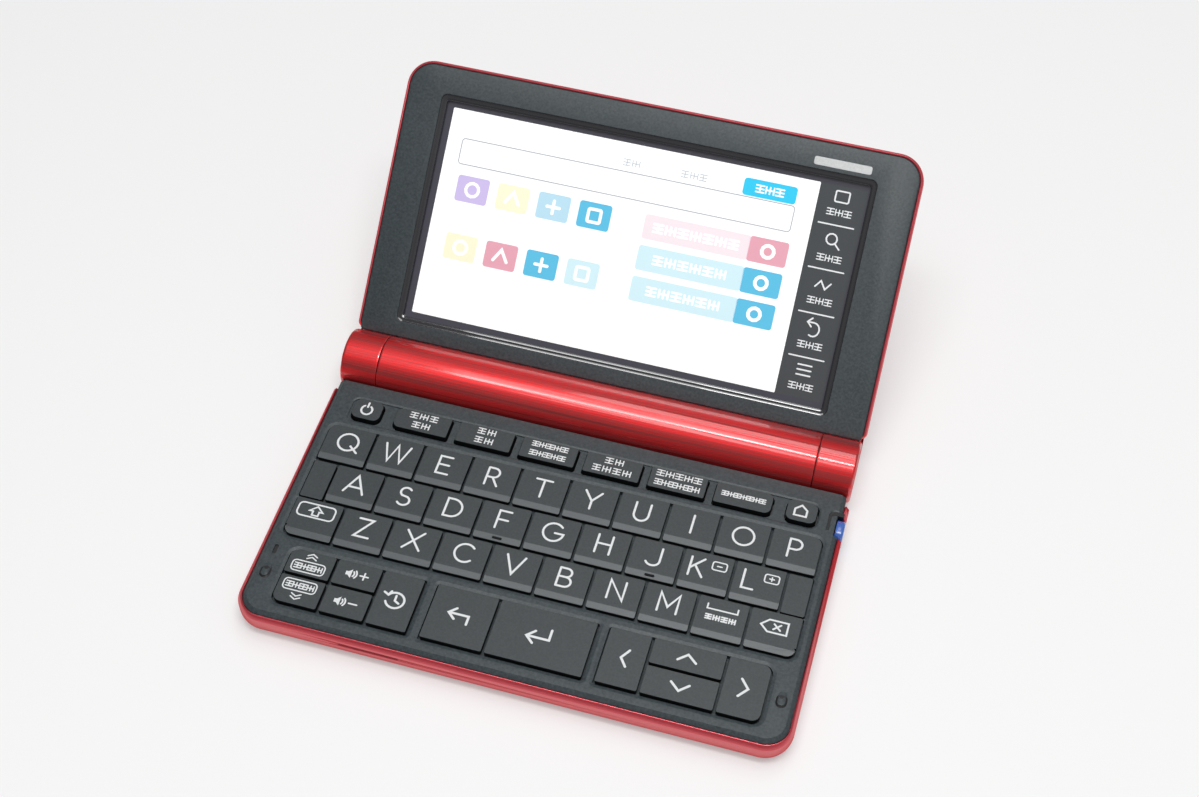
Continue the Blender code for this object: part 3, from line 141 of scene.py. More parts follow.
wire(flake_paint,
     ((surface, "Object"), (flakes, "Vector")), ((given, "Flake Scale"), (flakes, "Scale")),
     ((surface, "Object"), (fine_stretch, "Vector")), ((surface, "Object"), (broad_stretch, "Vector")),
     ((fine_streaks, "Fac"), (both_streaks, 0)), ((broad_streaks, "Fac"), (both_streaks, 1)),
     ((both_streaks, "Value"), (off_centre, 0)), ((off_centre, "Value"), (streak_share, 0)),
     ((given, "Streak Amount"), (streak_share, 1)), ((flakes, "Color"), (flake_tint, 0)),
     ((streak_share, "Value"), (tint_sum, 0)), ((flake_tint, "Value"), (tint_sum, 2)),
     ((tint_sum, "Value"), (blend_red, "Factor")), ((given, "Colour"), (blend_red, "A")),
     ((given, "Deep Colour"), (blend_red, "B")), ((flakes, "Distance"), (gloss_spread, 0)),
     ((given, "Roughness"), (gloss_spread, 2)), ((fine_streaks, "Fac"), (streak_lift, 0)),
     ((given, "Streak Amount"), (streak_lift, 1)), ((blend_red, "Result"), (out, "Colour")),
     ((gloss_spread, "Value"), (out, "Roughness")), ((streak_lift, "Value"), (out, "Height")),
     ((streak_share, "Value"), (streak_gloss, 0)), ((streak_gloss, "Value"), (out, "Gloss")))


def new_finish(name, **values):
    """A material and its Principled shader, with the plain numbers set on the shader's own sockets."""
    finish = bpy.data.materials.new(name)
    finish.use_nodes = True
    shader = finish.node_tree.nodes["Principled BSDF"]
    for socket, value in values.items():
        shader.inputs[socket.replace("_", " ")].default_value = value
    return finish, shader


def lay_on(finish, shader, group, values, depth, strength):
    """Feeds a finish from a shader group: colour, roughness, and height through a bump that many mm deep."""
    tree = finish.node_tree
    effect = tree.nodes.new("ShaderNodeGroup")
    effect.node_tree = group
    for label, value in values.items():
        effect.inputs[label].default_value = value
    bump = tree.nodes.new("ShaderNodeBump")
    bump.inputs["Distance"].default_value = depth * MM
    bump.inputs["Strength"].default_value = strength
    wire(tree, ((effect, "Colour"), (shader, "Base Color")), ((effect, "Roughness"), (shader, "Roughness")),
         ((effect, "Height"), (bump, "Height")), ((bump, "Normal"), (shader, "Normal")))
    return effect


def rounded(x0, x1, y0, y1, radii, steps=6, guard=0.0):
    """A rounded rectangle, anticlockwise from its left front corner; a guard keeps its long sides flat."""
    corners = ((x0, y0, 1, 1), (x1, y0, -1, 1), (x1, y1, -1, -1), (x0, y1, 1, -1))
    points = []
    for index, ((x, y, to_x, to_y), radius) in enumerate(zip(corners, radii)):
        for step in range(steps + 1):
            angle = math.pi * (1 + index / 2 + step / steps / 2)
            cos = math.cos(angle)
            sin = math.sin(angle)
            point = (x + to_x * radius + radius * cos, y + to_y * radius + radius * sin)
            on = (point[0] - guard * sin, point[1] + guard * cos)
            back = (point[0] + guard * sin, point[1] - guard * cos)
            points += [back] * (guard > 0 and step == 0) + [point] + [on] * (guard > 0 and step == steps)
    return points


def oblong(a0, a1, b0, b1):
    """A rectangle with square corners."""
    return [(a0, b0), (a1, b0), (a1, b1), (a0, b1)]


def oval(centre, half_width, half_height, steps=40):
    return [(centre[0] + half_width * math.cos(math.tau * i / steps),
             centre[1] + half_height * math.sin(math.tau * i / steps)) for i in range(steps)]


def bow(cx, cy, rx, ry, start, end, steps=10):
    """Points along part of an ellipse, angles in degrees."""
    return [(cx + rx * math.cos(math.radians(start + (end - start) * i / steps)),
             cy + ry * math.sin(math.radians(start + (end - start) * i / steps))) for i in range(steps + 1)]


def quarter(width, height, steps):
    """(inset, drop) pairs of a rounded foot, from the upright side down to the flat."""
    return [(width * (1 - math.cos(math.pi / 2 * i / steps)), height * math.sin(math.pi / 2 * i / steps))
            for i in range(steps + 1)]


def at_height(plan, z):
    """Lays an (x, y) plan at height z."""
    return [(x, y, z) for x, y in plan]


def along_x(profile, x):
    """Stands a (y, z) profile up at x."""
    return [(x, y, z) for y, z in profile]


def standing(plan, bottom, top):
    """The two rings of a straight block that stands on its plan."""
    return [at_height(plan, bottom), at_height(plan, top)]


def lying(profile, start, end):
    """The two rings of a straight block that lies along x."""
    return [along_x(profile, start), along_x(profile, end)]


def in_front_wall(face, rear, front):
    """The two rings of a straight block in the front wall, from its (x, z) face."""
    return [[(x, y, z) for x, z in face] for y in (rear, front)]


def stack(shape, rings):
    """A closed solid through successive rings of equal count."""
    rows = [[shape.verts.new(point) for point in points] for points in rings]
    count = len(rows[0])
    for lower, upper in zip(rows, rows[1:]):
        for i in range(count):
            j = (i + 1) % count
            shape.faces.new((lower[i], lower[j], upper[j], upper[i]))
    shape.faces.new(rows[0][::-1])
    shape.faces.new(rows[-1])


def lofted(*solids):
    """One shape of several stacked solids."""
    shape = bmesh.new()
    for rings in solids:
        stack(shape, rings)
    bmesh.ops.recalc_face_normals(shape, faces=shape.faces)
    return shape


def make_part(name, shape, finish, place=BASE_PLACE, smooth=30.0):
    """Turns a shape drawn in millimetres into an object in the frame, smooth but for its sharp edges."""
    shape.transform(place)
    mesh = bpy.data.meshes.new(name)
    shape.to_mesh(mesh)
    shape.free()
    mesh.shade_smooth()
    mesh.set_sharp_from_angle(angle=math.radians(smooth))
    mesh.materials.append(finish)
    part = bpy.data.objects.new(name, mesh)
    bare_scene.collection.objects.link(part)
    return part


def settle(part, body, finish_slot, *nodes):
    """Fixes a part to its body and lets it stand for the frame's own part; the finish slot is not used."""
    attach(part, body)
    if nodes:
        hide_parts(*nodes)
    return part


def cut_away(part, shapes, place=BASE_PLACE):
    """Cuts each shape out of the part for good."""
    tools = []
    for index, shape in enumerate(shapes):
        tool = make_part(f"{part.name}.tool{index}", shape, part.data.materials[0], place)
        tools.append(tool)
        step = part.modifiers.new(f"cut {index}", "BOOLEAN")
        step.operation = "DIFFERENCE"
        step.solver = "EXACT"
        step.object = tool
    graph = bpy.context.evaluated_depsgraph_get()
    graph.update()
    cut_mesh = bpy.data.meshes.new_from_object(part.evaluated_get(graph))
    part.modifiers.clear()
    part.data = cut_mesh
    for tool in tools:
        bpy.data.objects.remove(tool, do_unlink=True)


def case_plan(inset, rear_y=CASE_REAR_Y, rear_radius=1.6):
    """The case's outline, drawn in by the inset."""
    radius = CASE_CORNER - inset
    return rounded(-HALF_WIDTH + inset, HALF_WIDTH - inset, FRONT_Y + inset, rear_y,
                   (radius, radius, rear_radius, rear_radius), CORNER_STEPS, SIDE_GUARD)


red_paint, red_shader = new_finish("red metallic case paint", Metallic=0.7, Coat_Weight=0.8,
                                   Coat_Roughness=0.35, Coat_IOR=2.0, Specular_Tint=(0.8, 0.1, 0.15, 1.0))
lay_on(red_paint, red_shader, flake_paint,
       {"Streak Amount": 0.06, "Colour": (0.7, 0.032, 0.056, 1.0), "Deep Colour": (0.48, 0.018, 0.032, 1.0)},
       0.02, 0.5)

# The clear coat shines where the paint is seen at a slant, and dies away at grazing angles.
facing = red_paint.node_tree.nodes.new("ShaderNodeLayerWeight")
coat_share = red_paint.node_tree.nodes.new("ShaderNodeValToRGB")
stops = coat_share.color_ramp.elements
for slant, level in ((0.28, 0.7), (0.4, 1.0), (0.5, 1.0), (0.85, 0.05)):
    stop = stops.new(slant)
    stop.color = (level, level, level, 1.0)
stops.remove(stops[-1])
stops.remove(stops[0])
wire(red_paint.node_tree, ((facing, "Facing"), (coat_share, "Fac")),
     ((coat_share, "Color"), (red_shader, "Coat Weight")))

# The tray is one skin: up the inside from the floor, over the seat and the rim, and down to the rounded foot.
rim = [(1.22, -1.35), (1.2, -1.04), (1.12, -0.9), (0.98, -0.84), (0.84, -0.88), (0.72, -1.0), (0.08, -1.95),
       (0.0, -2.2)]
foot_top = CASE_BOTTOM + CASE_FOOT_HEIGHT
outer = rim + [(inset, foot_top - drop) for inset, drop in quarter(CASE_FOOT_WIDTH, CASE_FOOT_HEIGHT, 9)]
inner = [(inset + CASE_WALL, foot_top - drop)
         for inset, drop in quarter(CASE_FOOT_WIDTH - CASE_WALL, CASE_FOOT_HEIGHT - CASE_WALL, 5)][::-1]
inner_rear_y = CASE_REAR_Y - CASE_WALL
rings = [at_height(case_plan(inset, inner_rear_y), z) for inset, z in inner]
rings += [at_height(case_plan(CASE_WALL, inner_rear_y), RIM_SEAT), at_height(case_plan(rim[0][0]), RIM_SEAT)]
rings += [at_height(case_plan(inset), z) for inset, z in outer]

# Moulded on it: a disc and a web for each bulkhead, a foot under each hinge, and the stylus bay.
disc = oval((AXIS_Y, AXIS_Z), 7.4, 7.4, 64)
web = oblong(CASE_REAR_Y - 0.7, 33.5, -8.0, -3.2)
hinge_foot = bow(AXIS_Y, AXIS_Z, 8.3, 8.3, -14, -91, 20)
hinge_foot += [(CASE_REAR_Y - 0.5, CASE_BOTTOM + 0.16), (CASE_REAR_Y - 0.5, AXIS_Z - 3.3)]
bay = oblong(STYLUS_Y - 2.4, STYLUS_Y + 2.4, -8.4, -6.0)
plates = []
for side in (-1, 1):
    for start, end in ((57.2, 58.2), (60.3, 62.3)):
        plates += [lying(disc, side * start, side * end), lying(web, side * start, side * end)]
    plates.append(lying(hinge_foot, side * 60.5, side * 62.1))
plates.append(lying(bay, -12.9, 73.0))
case = make_part("case_tray", lofted(rings, *plates), red_paint)

sound_slot = in_front_wall(rounded(-44.3, -27.7, -3.9, -3.0, [0.43] * 4), FRONT_Y + 1.6, FRONT_Y - 1.0)
rear_notches = [standing(rounded(*sorted((side * 72.65, side * OUTSIDE_X)), 24.9, 29.0, [0.2] * 4, 2),
                         -11.0, ABOVE_FACE) for side in (-1, 1)]
notch = oval((STYLUS_Y, TAIL_Z), NOTCH_HALF_WIDTH, TAIL_HALF_HEIGHT + 0.3)
mouth = oblong(STYLUS_Y - NOTCH_HALF_WIDTH, STYLUS_Y + NOTCH_HALF_WIDTH, TAIL_Z, ABOVE_FACE)
bore = oval((STYLUS_Y, BORE_Z), 1.5, 1.5, 24)
shaft_way = oval((AXIS_Y, AXIS_Z), 2.25, 2.25, 24)
sinks = []
for x in (-SINK_X, SINK_X):
    for y, reach, depth in [(y, 4.3, 0.5) for y in FOOT_YS] + [(y, 2.4, 1.2) for y in SCREW_YS]:
        sinks.append(standing(oval((x, y), reach, reach), CASE_BOTTOM - 1.0, CASE_BOTTOM + depth))
cut_away(case, [lofted(sound_slot), lofted(*rear_notches), lofted(lying(notch, NOTCH_X, OUTSIDE_X)),
                lofted(lying(mouth, NOTCH_X, OUTSIDE_X)), lofted(lying(bore, -12.3, OUTSIDE_X)),
                lofted(lying(shaft_way, -OUTSIDE_X, OUTSIDE_X)), lofted(*sinks)])
settle(case, "base", "red_shell", "bottom_case")

# Inside the base. A lacquered circuit board on posts, a silicone key mat, a small speaker behind its slot, a
# black sheet of painted shade just inside the slot, and nickelled spring and hinge parts. They show only
# through gaps or with the battery cover off.
grain, given, out = paint_shop_group(
    "moulded grain",
    {"Colour": (0.05, 0.05, 0.05, 1.0), "Second Colour": (0.06, 0.06, 0.06, 1.0), "Grain Scale": 3500.0,
     "Patch Scale": 60.0, "Roughness": 0.5, "Roughness Spread": 0.1},
    ("Colour", "Roughness", "Height"))
surface = grain.nodes.new("ShaderNodeTexCoord")
pits = grain.nodes.new("ShaderNodeTexNoise")
pits.inputs["Detail"].default_value = 2.0
patches = grain.nodes.new("ShaderNodeTexNoise")
patches.inputs["Detail"].default_value = 3.0
blend_grain = grain.nodes.new("ShaderNodeMix")
blend_grain.data_type = "RGBA"
mottle = maths(grain, "MULTIPLY_ADD", 0.3)
strong_pits = maths(grain, "MULTIPLY_ADD", 1.9, -0.6)
dulling = maths(grain, "MULTIPLY_ADD")
wire(grain,
     ((surface, "Object"), (pits, "Vector")), ((given, "Grain Scale"), (pits, "Scale")),
     ((surface, "Object"), (patches, "Vector")), ((given, "Patch Scale"), (patches, "Scale")),
     ((pits, "Fac"), (strong_pits, 0)), ((patches, "Fac"), (mottle, 0)),
     ((strong_pits, "Value"), (mottle, 2)),
     ((mottle, "Value"), (blend_grain, "Factor")), ((given, "Colour"), (blend_grain, "A")),
     ((given, "Second Colour"), (blend_grain, "B")), ((patches, "Fac"), (dulling, 0)),
     ((given, "Roughness Spread"), (dulling, 1)), ((given, "Roughness"), (dulling, 2)),
     ((blend_grain, "Result"), (out, "Colour")), ((dulling, "Value"), (out, "Roughness")),
     ((pits, "Fac"), (out, "Height")))


def moulded(name, colour, second, scale, roughness, depth, **values):
    """A plastic, rubber or metal finish with the grain of its mould, that many mm deep."""
    finish, shader = new_finish(name, **values)
    lay_on(finish, shader, grain, {"Colour": (*colour, 1.0), "Second Colour": (*second, 1.0),
                                   "Grain Scale": scale, "Roughness": roughness}, depth, 0.6)
    return finish


def dress(node, finish):
    """Gives a part of the frame its finish."""
    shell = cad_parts[node]
    shell.data.materials.clear()
    shell.data.materials.append(finish)


lacquer = moulded("green board lacquer", (0.01, 0.11, 0.04), (0.02, 0.16, 0.06), 900.0, 0.3, 0.01)
silicone = moulded("grey silicone", (0.2, 0.2, 0.21), (0.25, 0.25, 0.26), 1500.0, 0.7, 0.01)
# The black moulding is the speaker's own colour. It also serves as painted shade in the black sheets, skirts
# and rings set into slots, grooves and seams.
black_moulding_and_shade = moulded("black moulding and painted shade", (0.008, 0.008, 0.009), (0.014, 0.014, 0.015), 2500.0, 0.4, 0.01)
nickel = moulded("nickelled steel", (0.55, 0.54, 0.52), (0.62, 0.61, 0.58), 2000.0, 0.25, 0.005, Metallic=1.0)
# A black sheet just inside the sound slot: painted shade, so that the slot reads dark.
slot_shade_face = rounded(-45.0, -27.0, -4.2, -2.4, [0.4] * 4)
slot_shade = lofted(in_front_wall(slot_shade_face, FRONT_Y + 1.3, FRONT_Y + 0.4))
settle(make_part("slot_shade", slot_shade, black_moulding_and_shade), "base", "black_plastic")
dress("main_board", lacquer)
dress("key_mat", silicone)
dress("speaker", black_moulding_and_shade)
for hidden in ("battery_spring", "hinge_left", "hinge_right"):
    dress(hidden, nickel)

# Feet and screws. Four black rubber feet are glued into round sinks under the case, and four small black
# cross-head screws hold the case to the panel from below. Heights are above the case's underside.
FOOT_TURNING = ((3.9, 0.52), (3.9, 0.12), (3.78, 0.03), (3.5, 0.0))
SCREW_TURNING = ((1.0, 2.4), (1.0, 1.25), (1.9, 1.22), (1.9, 0.85), (1.5, 0.62), (0.8, 0.52))


def turned(x, y, turning, steps=40):
    """Rings of a round piece that stands at (x, y), from its (radius, height) pairs."""
    return [at_height(oval((x, y), reach, reach, steps), CASE_BOTTOM + z) for reach, z in turning]


foot_rubber = moulded("foot rubber", (0.012, 0.012, 0.012), (0.02, 0.02, 0.02), 3000.0, 0.75, 0.02)
screw_black = moulded("blackened screw", (0.04, 0.04, 0.042), (0.06, 0.06, 0.062), 3000.0, 0.35, 0.005,
                      Metallic=0.9)
feet = []
heads = []
long_bars = []
cross_bars = []
for x in (-SINK_X, SINK_X):
    feet += [turned(x, y, FOOT_TURNING) for y in FOOT_YS]
    for y in SCREW_YS:
        heads.append(turned(x, y, SCREW_TURNING, 24))
        for bars, half_x, half_y in ((long_bars, 1.0, 0.2), (cross_bars, 0.2, 1.0)):
            bar = oblong(x - half_x, x + half_x, y - half_y, y + half_y)
            bars.append(standing(bar, CASE_BOTTOM + 0.1, CASE_BOTTOM + 0.95))
settle(make_part("rubber_feet", lofted(*feet), foot_rubber), "base", "mat_rubber")
screws = make_part("case_screws", lofted(*heads), screw_black)
cut_away(screws, [lofted(*long_bars), lofted(*cross_bars)])
settle(screws, "base", "hinge_steel")

# Keyboard panel. One satin slate-grey moulding that drops into the case: a sunk band for the rear keys,
# pockets for the letter block and the three front groups, a microphone slot and a bent groove behind the
# stylus, both backed with black sheets of painted shade. Two small lid stops stand on it, each in a black
# skirt of painted shade.
KEY_GAP = 0.4
POCKET_DEPTH = 1.7
SMALL_CORNER = 0.75
LARGE_CORNER = 2.5
LETTER_ROWS = (6.22, -6.43, -19.08)
LETTER_HALF_WIDTH = 69.7
LETTER_HALF_DEPTH = 6.025
ROW_MARGIN = 0.3
FRONT_GROUPS = ((-64.5, -27.6), (-24.0, 19.2), (22.5, 65.0))
GROUP_FRONT = -45.2
GROUP_REAR = -28.85
BAND_Y = 19.05
BAND_SINK = -0.5
FUNCTION_FRONT = 15.95
FUNCTION_REAR = 22.4
TIGHT = (0.45,) * 4
EASY = (1.8,) * 4
FUNCTION_KEYS = ((-61.45, 8.1, EASY), (-45.36, 15.66, (1.8, 0.45, 0.45, 1.8)), (-27.09, 15.66, TIGHT),
                 (-8.82, 15.66, TIGHT), (9.46, 15.66, TIGHT), (27.73, 15.66, TIGHT),
                 (46.0, 15.66, (0.45, 1.8, 1.8, 0.45)), (62.0, 8.2, EASY))
STOP_X = 69.0
STOP_LEVELS = ((-0.15, 0.0), (0.5, 0.0), (0.56, 0.07), (0.6, 0.22))
STOP_SHADE_LEVELS = ((-0.15, -0.45), (0.05, -0.45), (0.3, -0.06), (0.5, -0.06))


def ease_edges(part, width, segments=2, angle=30.0, chosen=None):
    """A small even rounding on every sharp edge, or on the edges that the test picks out."""
    for polygon in part.data.polygons:
        polygon.use_smooth = True
    step = part.modifiers.new("eased edges", "BEVEL")
    step.width = width * MM
    step.segments = segments
    step.limit_method = "ANGLE"
    step.angle_limit = math.radians(angle)
    step.harden_normals = True
    if chosen:
        step.limit_method = "WEIGHT"
        step.material = 0
        weights = part.data.attributes.new("bevel_weight_edge", "FLOAT", "EDGE")
        for edge in part.data.edges:
            ends = [part.data.vertices[i].co for i in edge.vertices]
            weights.data[edge.index].value = float(chosen(ends))


def pocket(x0, x1, y0, y1, radii, floor, rim=0.9, lip=0.24):
    """The room that a pocket takes out of the panel, with a low sloping rim round it."""
    narrow = rounded(x0, x1, y0, y1, radii, 8)
    wide = rounded(x0 - rim, x1 + rim, y0 - rim, y1 + rim, [radius + rim for radius in radii], 8)
    return lofted([*standing(narrow, floor, -lip), *standing(wide, 0.0, ABOVE_FACE)])


def groove_plan(outer, tongue):
    """The bent groove behind the stylus tail: its outer line, then back along the tongue."""
    turns = [math.pi / 2 * i / 8 for i in range(9)]
    away = [(69.35 - outer * 0.3, 15.6)]
    away += [(70.95 - (1.6 + outer * 0.3) * math.cos(turn), 20.45 + (1.6 + outer) * math.sin(turn))
             for turn in turns]
    home = [(69.95 + tongue * 0.3, 15.6)]
    home += [(71.05 - (1.1 - tongue * 0.3) * math.cos(turn), 19.7 + (1.1 - tongue) * math.sin(turn))
             for turn in turns]
    return away + [(76.0, 22.05 + outer), (76.0, 20.8 - tongue)] + home[::-1]


slate = moulded("slate satin moulding", (0.021, 0.031, 0.036), (0.053, 0.068, 0.074), 1500.0, 0.42, 0.014)
edge_rings = [(0.0, -1.8), (0.0, -1.12), (0.06, -0.98), (1.05, -0.1), (1.17, -0.02), (1.35, 0.0)]
rings = standing(case_plan(3.0, CASE_REAR_Y - 1.95), -2.5, -1.8)
rings += [at_height(case_plan(1.3 + inset, CASE_REAR_Y - 0.1 * inset, 0.35), z) for inset, z in edge_rings]
panel = make_part("keyboard_face", lofted(rings), slate)
room = []
for row, row_y in enumerate(LETTER_ROWS):
    front_radius = LARGE_CORNER if row == 2 else SMALL_CORNER
    rear_radius = LARGE_CORNER if row == 0 else SMALL_CORNER
    room.append(pocket(-LETTER_HALF_WIDTH, LETTER_HALF_WIDTH, row_y - LETTER_HALF_DEPTH - ROW_MARGIN,
                       row_y + LETTER_HALF_DEPTH + ROW_MARGIN,
                       (front_radius, front_radius, rear_radius, rear_radius), -POCKET_DEPTH))
for index, (x0, x1) in enumerate(FRONT_GROUPS):
    left_radius = LARGE_CORNER if index == 0 else SMALL_CORNER
    right_radius = LARGE_CORNER if index == 2 else SMALL_CORNER
    room.append(pocket(x0 - KEY_GAP, x1 + KEY_GAP, GROUP_FRONT - KEY_GAP, GROUP_REAR + KEY_GAP,
                       (left_radius, right_radius, right_radius, left_radius), -POCKET_DEPTH))
room.append(pocket(-66.5, 66.5, BAND_Y - 4.05, BAND_Y + 3.75, [2.1] * 4, BAND_SINK, 0.55, 0.19))
openings = []
for x, width, radii in FUNCTION_KEYS:
    plan = rounded(x - width / 2 - 0.3, x + width / 2 + 0.5, FUNCTION_FRONT - 0.75, FUNCTION_REAR + 0.2,
                   [radius + 0.3 for radius in radii], 8)
    openings.append(standing(plan, -3.5, ABOVE_FACE))
room.append(lofted(*openings))
room.append(lofted([*standing(groove_plan(0.0, 0.0), -1.7, -0.22),
                    *standing(groove_plan(0.45, 0.25), 0.0, ABOVE_FACE)]))
tail_room = rounded(71.45, 76.0, 14.3, 20.95, [0.5] * 4)
room.append(lofted(standing(tail_room, -4.0, ABOVE_FACE)))
microphone_slot = rounded(-69.65, -68.55, -31.7, -28.8, [0.5] * 4)
room.append(lofted(standing(microphone_slot, -1.5, ABOVE_FACE)))
cut_away(panel, room)
ease_edges(panel, 0.06, 2, 16.0)
settle(panel, "base", "slate_panel", "keyboard_panel")

# Black inserts in the microphone slot and the stylus groove: painted shade, so that both read dark.
mic_shade = rounded(-69.6, -68.6, -31.65, -28.85, [0.48] * 4)
groove_shade = [(min(x, 73.2), y) for x, y in groove_plan(-0.02, -0.02)]
for name, plan, bottom, top in (("mic_shade", mic_shade, -1.45, -0.3),
                                ("groove_shade", groove_shade, -1.75, -0.2)):
    settle(make_part(name, lofted(standing(plan, bottom, top)), black_moulding_and_shade), "base", "black_plastic")
# Each lid stop stands in a black skirt, which is painted shade on its front and sides.
for side, label in ((-1, "left"), (1, "right")):
    mid = side * STOP_X
    for name, finish, levels, rear in (("lid_stop", slate, STOP_LEVELS, -34.6),
                                       ("stop_shade", black_moulding_and_shade, STOP_SHADE_LEVELS, -36.0)):
        bump = []
        for z, inset in levels:
            foot = rounded(mid - 1.0 + inset, mid + 1.0 - inset, -38.9 + inset, rear - inset,
                           [0.95 - inset] * 4, 8)
            bump.append([(x, y, min(z, 0.62 - max(y + 38.0, 0.0) * 0.19)) for x, y in foot])
        settle(make_part(f"{name}_{label}", lofted(bump), finish), "base", "slate_panel")

# Fixed blanks. Two flush slips fill the ends of the middle letter row. They are moulded in the keys' satin
# plastic, sit on the floor of the pocket and don't move.
key_satin = moulded("key satin", (0.032, 0.041, 0.044), (0.048, 0.057, 0.061), 1700.0, 0.38, 0.012)
# The letter caps' front slopes take a lighter copy of the key satin: a painted highlight where the slope
# faces the lamps.
key_slope_highlight = moulded("key front slope painted highlight", (0.059, 0.07, 0.075), (0.072, 0.084, 0.09), 4200.0, 0.32, 0.01)
# Near-black for the caps' sides: painted shade where the sides fall in shadow.
key_shade_black = moulded("key sides painted shade", (0.004, 0.005, 0.006), (0.006, 0.007, 0.008), 4200.0, 0.6, 0.01,
                    Specular_IOR_Level=0.2)


def make_cap(name, foot, radii, proud, underside, slope=0.0, drop=0.0, post=None):
    """One keycap: post, upright skirt in near-black painted shade, and crown, which may fall away in a plane
    at the front that is painted lighter as a highlight.
    """
    x0, x1, y0, y1 = foot
    plan = rounded(x0, x1, y0, y1, radii, 5)
    half = len(plan) // 2
    crease_y = y0 + slope
    if slope:
        plan = plan[:half] + [(x1, crease_y)] + plan[half:] + [(x0, crease_y)]
    crown = [(x, y, proud - (max(crease_y - y, 0.0) / slope * drop if slope else 0.0)) for x, y in plan]
    shape = bmesh.new()
    lower, upper = [[shape.verts.new(point) for point in ring]
                    for ring in (at_height(plan, underside), crown)]
    count = len(plan)
    for i in range(count):
        j = (i + 1) % count
        shape.faces.new((lower[i], lower[j], upper[j], upper[i])).material_index = 2
    shape.faces.new(lower[::-1]).material_index = 2
    if slope:
        shape.faces.new([upper[-1], *upper[:half + 1]]).material_index = 1
        shape.faces.new(upper[half:])
    else:
        shape.faces.new(upper)
    if post:
        half_x, half_y, bottom = post
        x = (x0 + x1) / 2
        y = (y0 + y1) / 2
        stem = rounded(x - half_x, x + half_x, y - half_y, y + half_y, [0.5] * 4, 3)
        stack(shape, standing(stem, bottom, underside + 0.1))
    bmesh.ops.recalc_face_normals(shape, faces=shape.faces)
    cap = make_part(name, shape, key_satin)
    cap.data.materials.append(key_slope_highlight)
    cap.data.materials.append(key_shade_black)
    crown_foot = (proud - drop - 0.05) * MM - CASE_BOTTOM * MM
    ease_edges(cap, 0.1, 2, chosen=lambda ends: min(end.z for end in ends) > crown_foot)
    return cap


for side, label in ((-1, "left"), (1, "right")):
    low_x, high_x = sorted((side * 63.03, side * 69.4))
    blank = make_cap(f"row_blank_{label}", (low_x, high_x, -12.455, -0.405), TIGHT, 0.12, -POCKET_DEPTH)
    settle(blank, "base", "slate_panel")

# Keys. Injection moulded caps in a satin grey, each on a post that presses a dome of the mat.
# Letter caps slope down at the front in a broad plane, painted lighter there as a highlight; the others are
# flat with eased edges. Every cap's sides are painted near-black as shade.
KEY_TOP = 0.45
GROUP_TOP = 0.6
FUNCTION_TOP = 0.62
CAP_UNDERSIDE = -0.9
FUNCTION_UNDERSIDE = -3.1
KEY_POST = (1.7, 1.3, -2.7)
LETTER_SLOPE = 1.8
LETTER_DROP = 0.42
LETTER_PITCH = 13.94
BROAD_RADIUS = 2.2
LETTER_KEYS = "q w e r t y u i o p a s d f g h j k l shift z x c v b n m space delete".split()
FRONT_KEYS = "page_up page_down volume_up volume_down history back enter left up down right".split()
BROAD_CORNERS = {"q": (3,), "p": (2,), "shift": (0,), "delete": (1,), "page_up": (3,), "page_down": (0,),
                 "right": (1, 2)}


def footprint(node):
    """Where a node of the frame stands, in the panel's millimetres."""
    low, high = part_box(node)
    return low.x / MM, high.x / MM, low.y / MM + ORIGIN_Y, high.y / MM + ORIGIN_Y


for key in LETTER_KEYS + FRONT_KEYS:
    radii = list(TIGHT)
    for corner in BROAD_CORNERS.get(key, ()):
        radii[corner] = BROAD_RADIUS
    node = f"key_{key}"
    x0, x1, y0, y1 = footprint(node)
    if key in LETTER_KEYS:
        foot = (x0 + 0.07, x1 - 0.07, y0 + 0.38, y1 - 0.08)
        cap = make_cap(f"cap_{key}", foot, radii, KEY_TOP, CAP_UNDERSIDE, LETTER_SLOPE, LETTER_DROP, KEY_POST)
    else:
        foot = (x0 + 0.08, x1 - 0.1, y0 + 0.18, y1 - 0.04)
        cap = make_cap(f"cap_{key}", foot, radii, GROUP_TOP, CAP_UNDERSIDE, post=KEY_POST)
    settle(cap, node, "key_plastic", node)
# The nibs on F and J are raised bars drawn wholly in the near-black of the painted shade that falls on their
# fronts.
for key, x in (("f", -LETTER_PITCH), ("j", 2 * LETTER_PITCH)):
    bar = rounded(x - 1.35, x + 1.35, -11.5, -10.8, [0.3] * 4)
    nib = make_part(f"nib_{key}", lofted(standing(bar, 0.0, 0.42)), key_shade_black)
    ease_edges(nib, 0.08)
    settle(nib, f"key_{key}", "key_plastic")

for index, (x, width, radii) in enumerate(FUNCTION_KEYS):
    foot = (x - width / 2, x + width / 2, FUNCTION_FRONT, FUNCTION_REAR)
    label = {0: "power", 7: "home"}.get(index, f"shortcut_{index}")
    cap = make_cap(f"cap_{label}", foot, radii, FUNCTION_TOP, FUNCTION_UNDERSIDE)
    node = "key_" + label if index in (0, 7) else "shortcut_keys"
    settle(cap, node, "key_plastic", node)

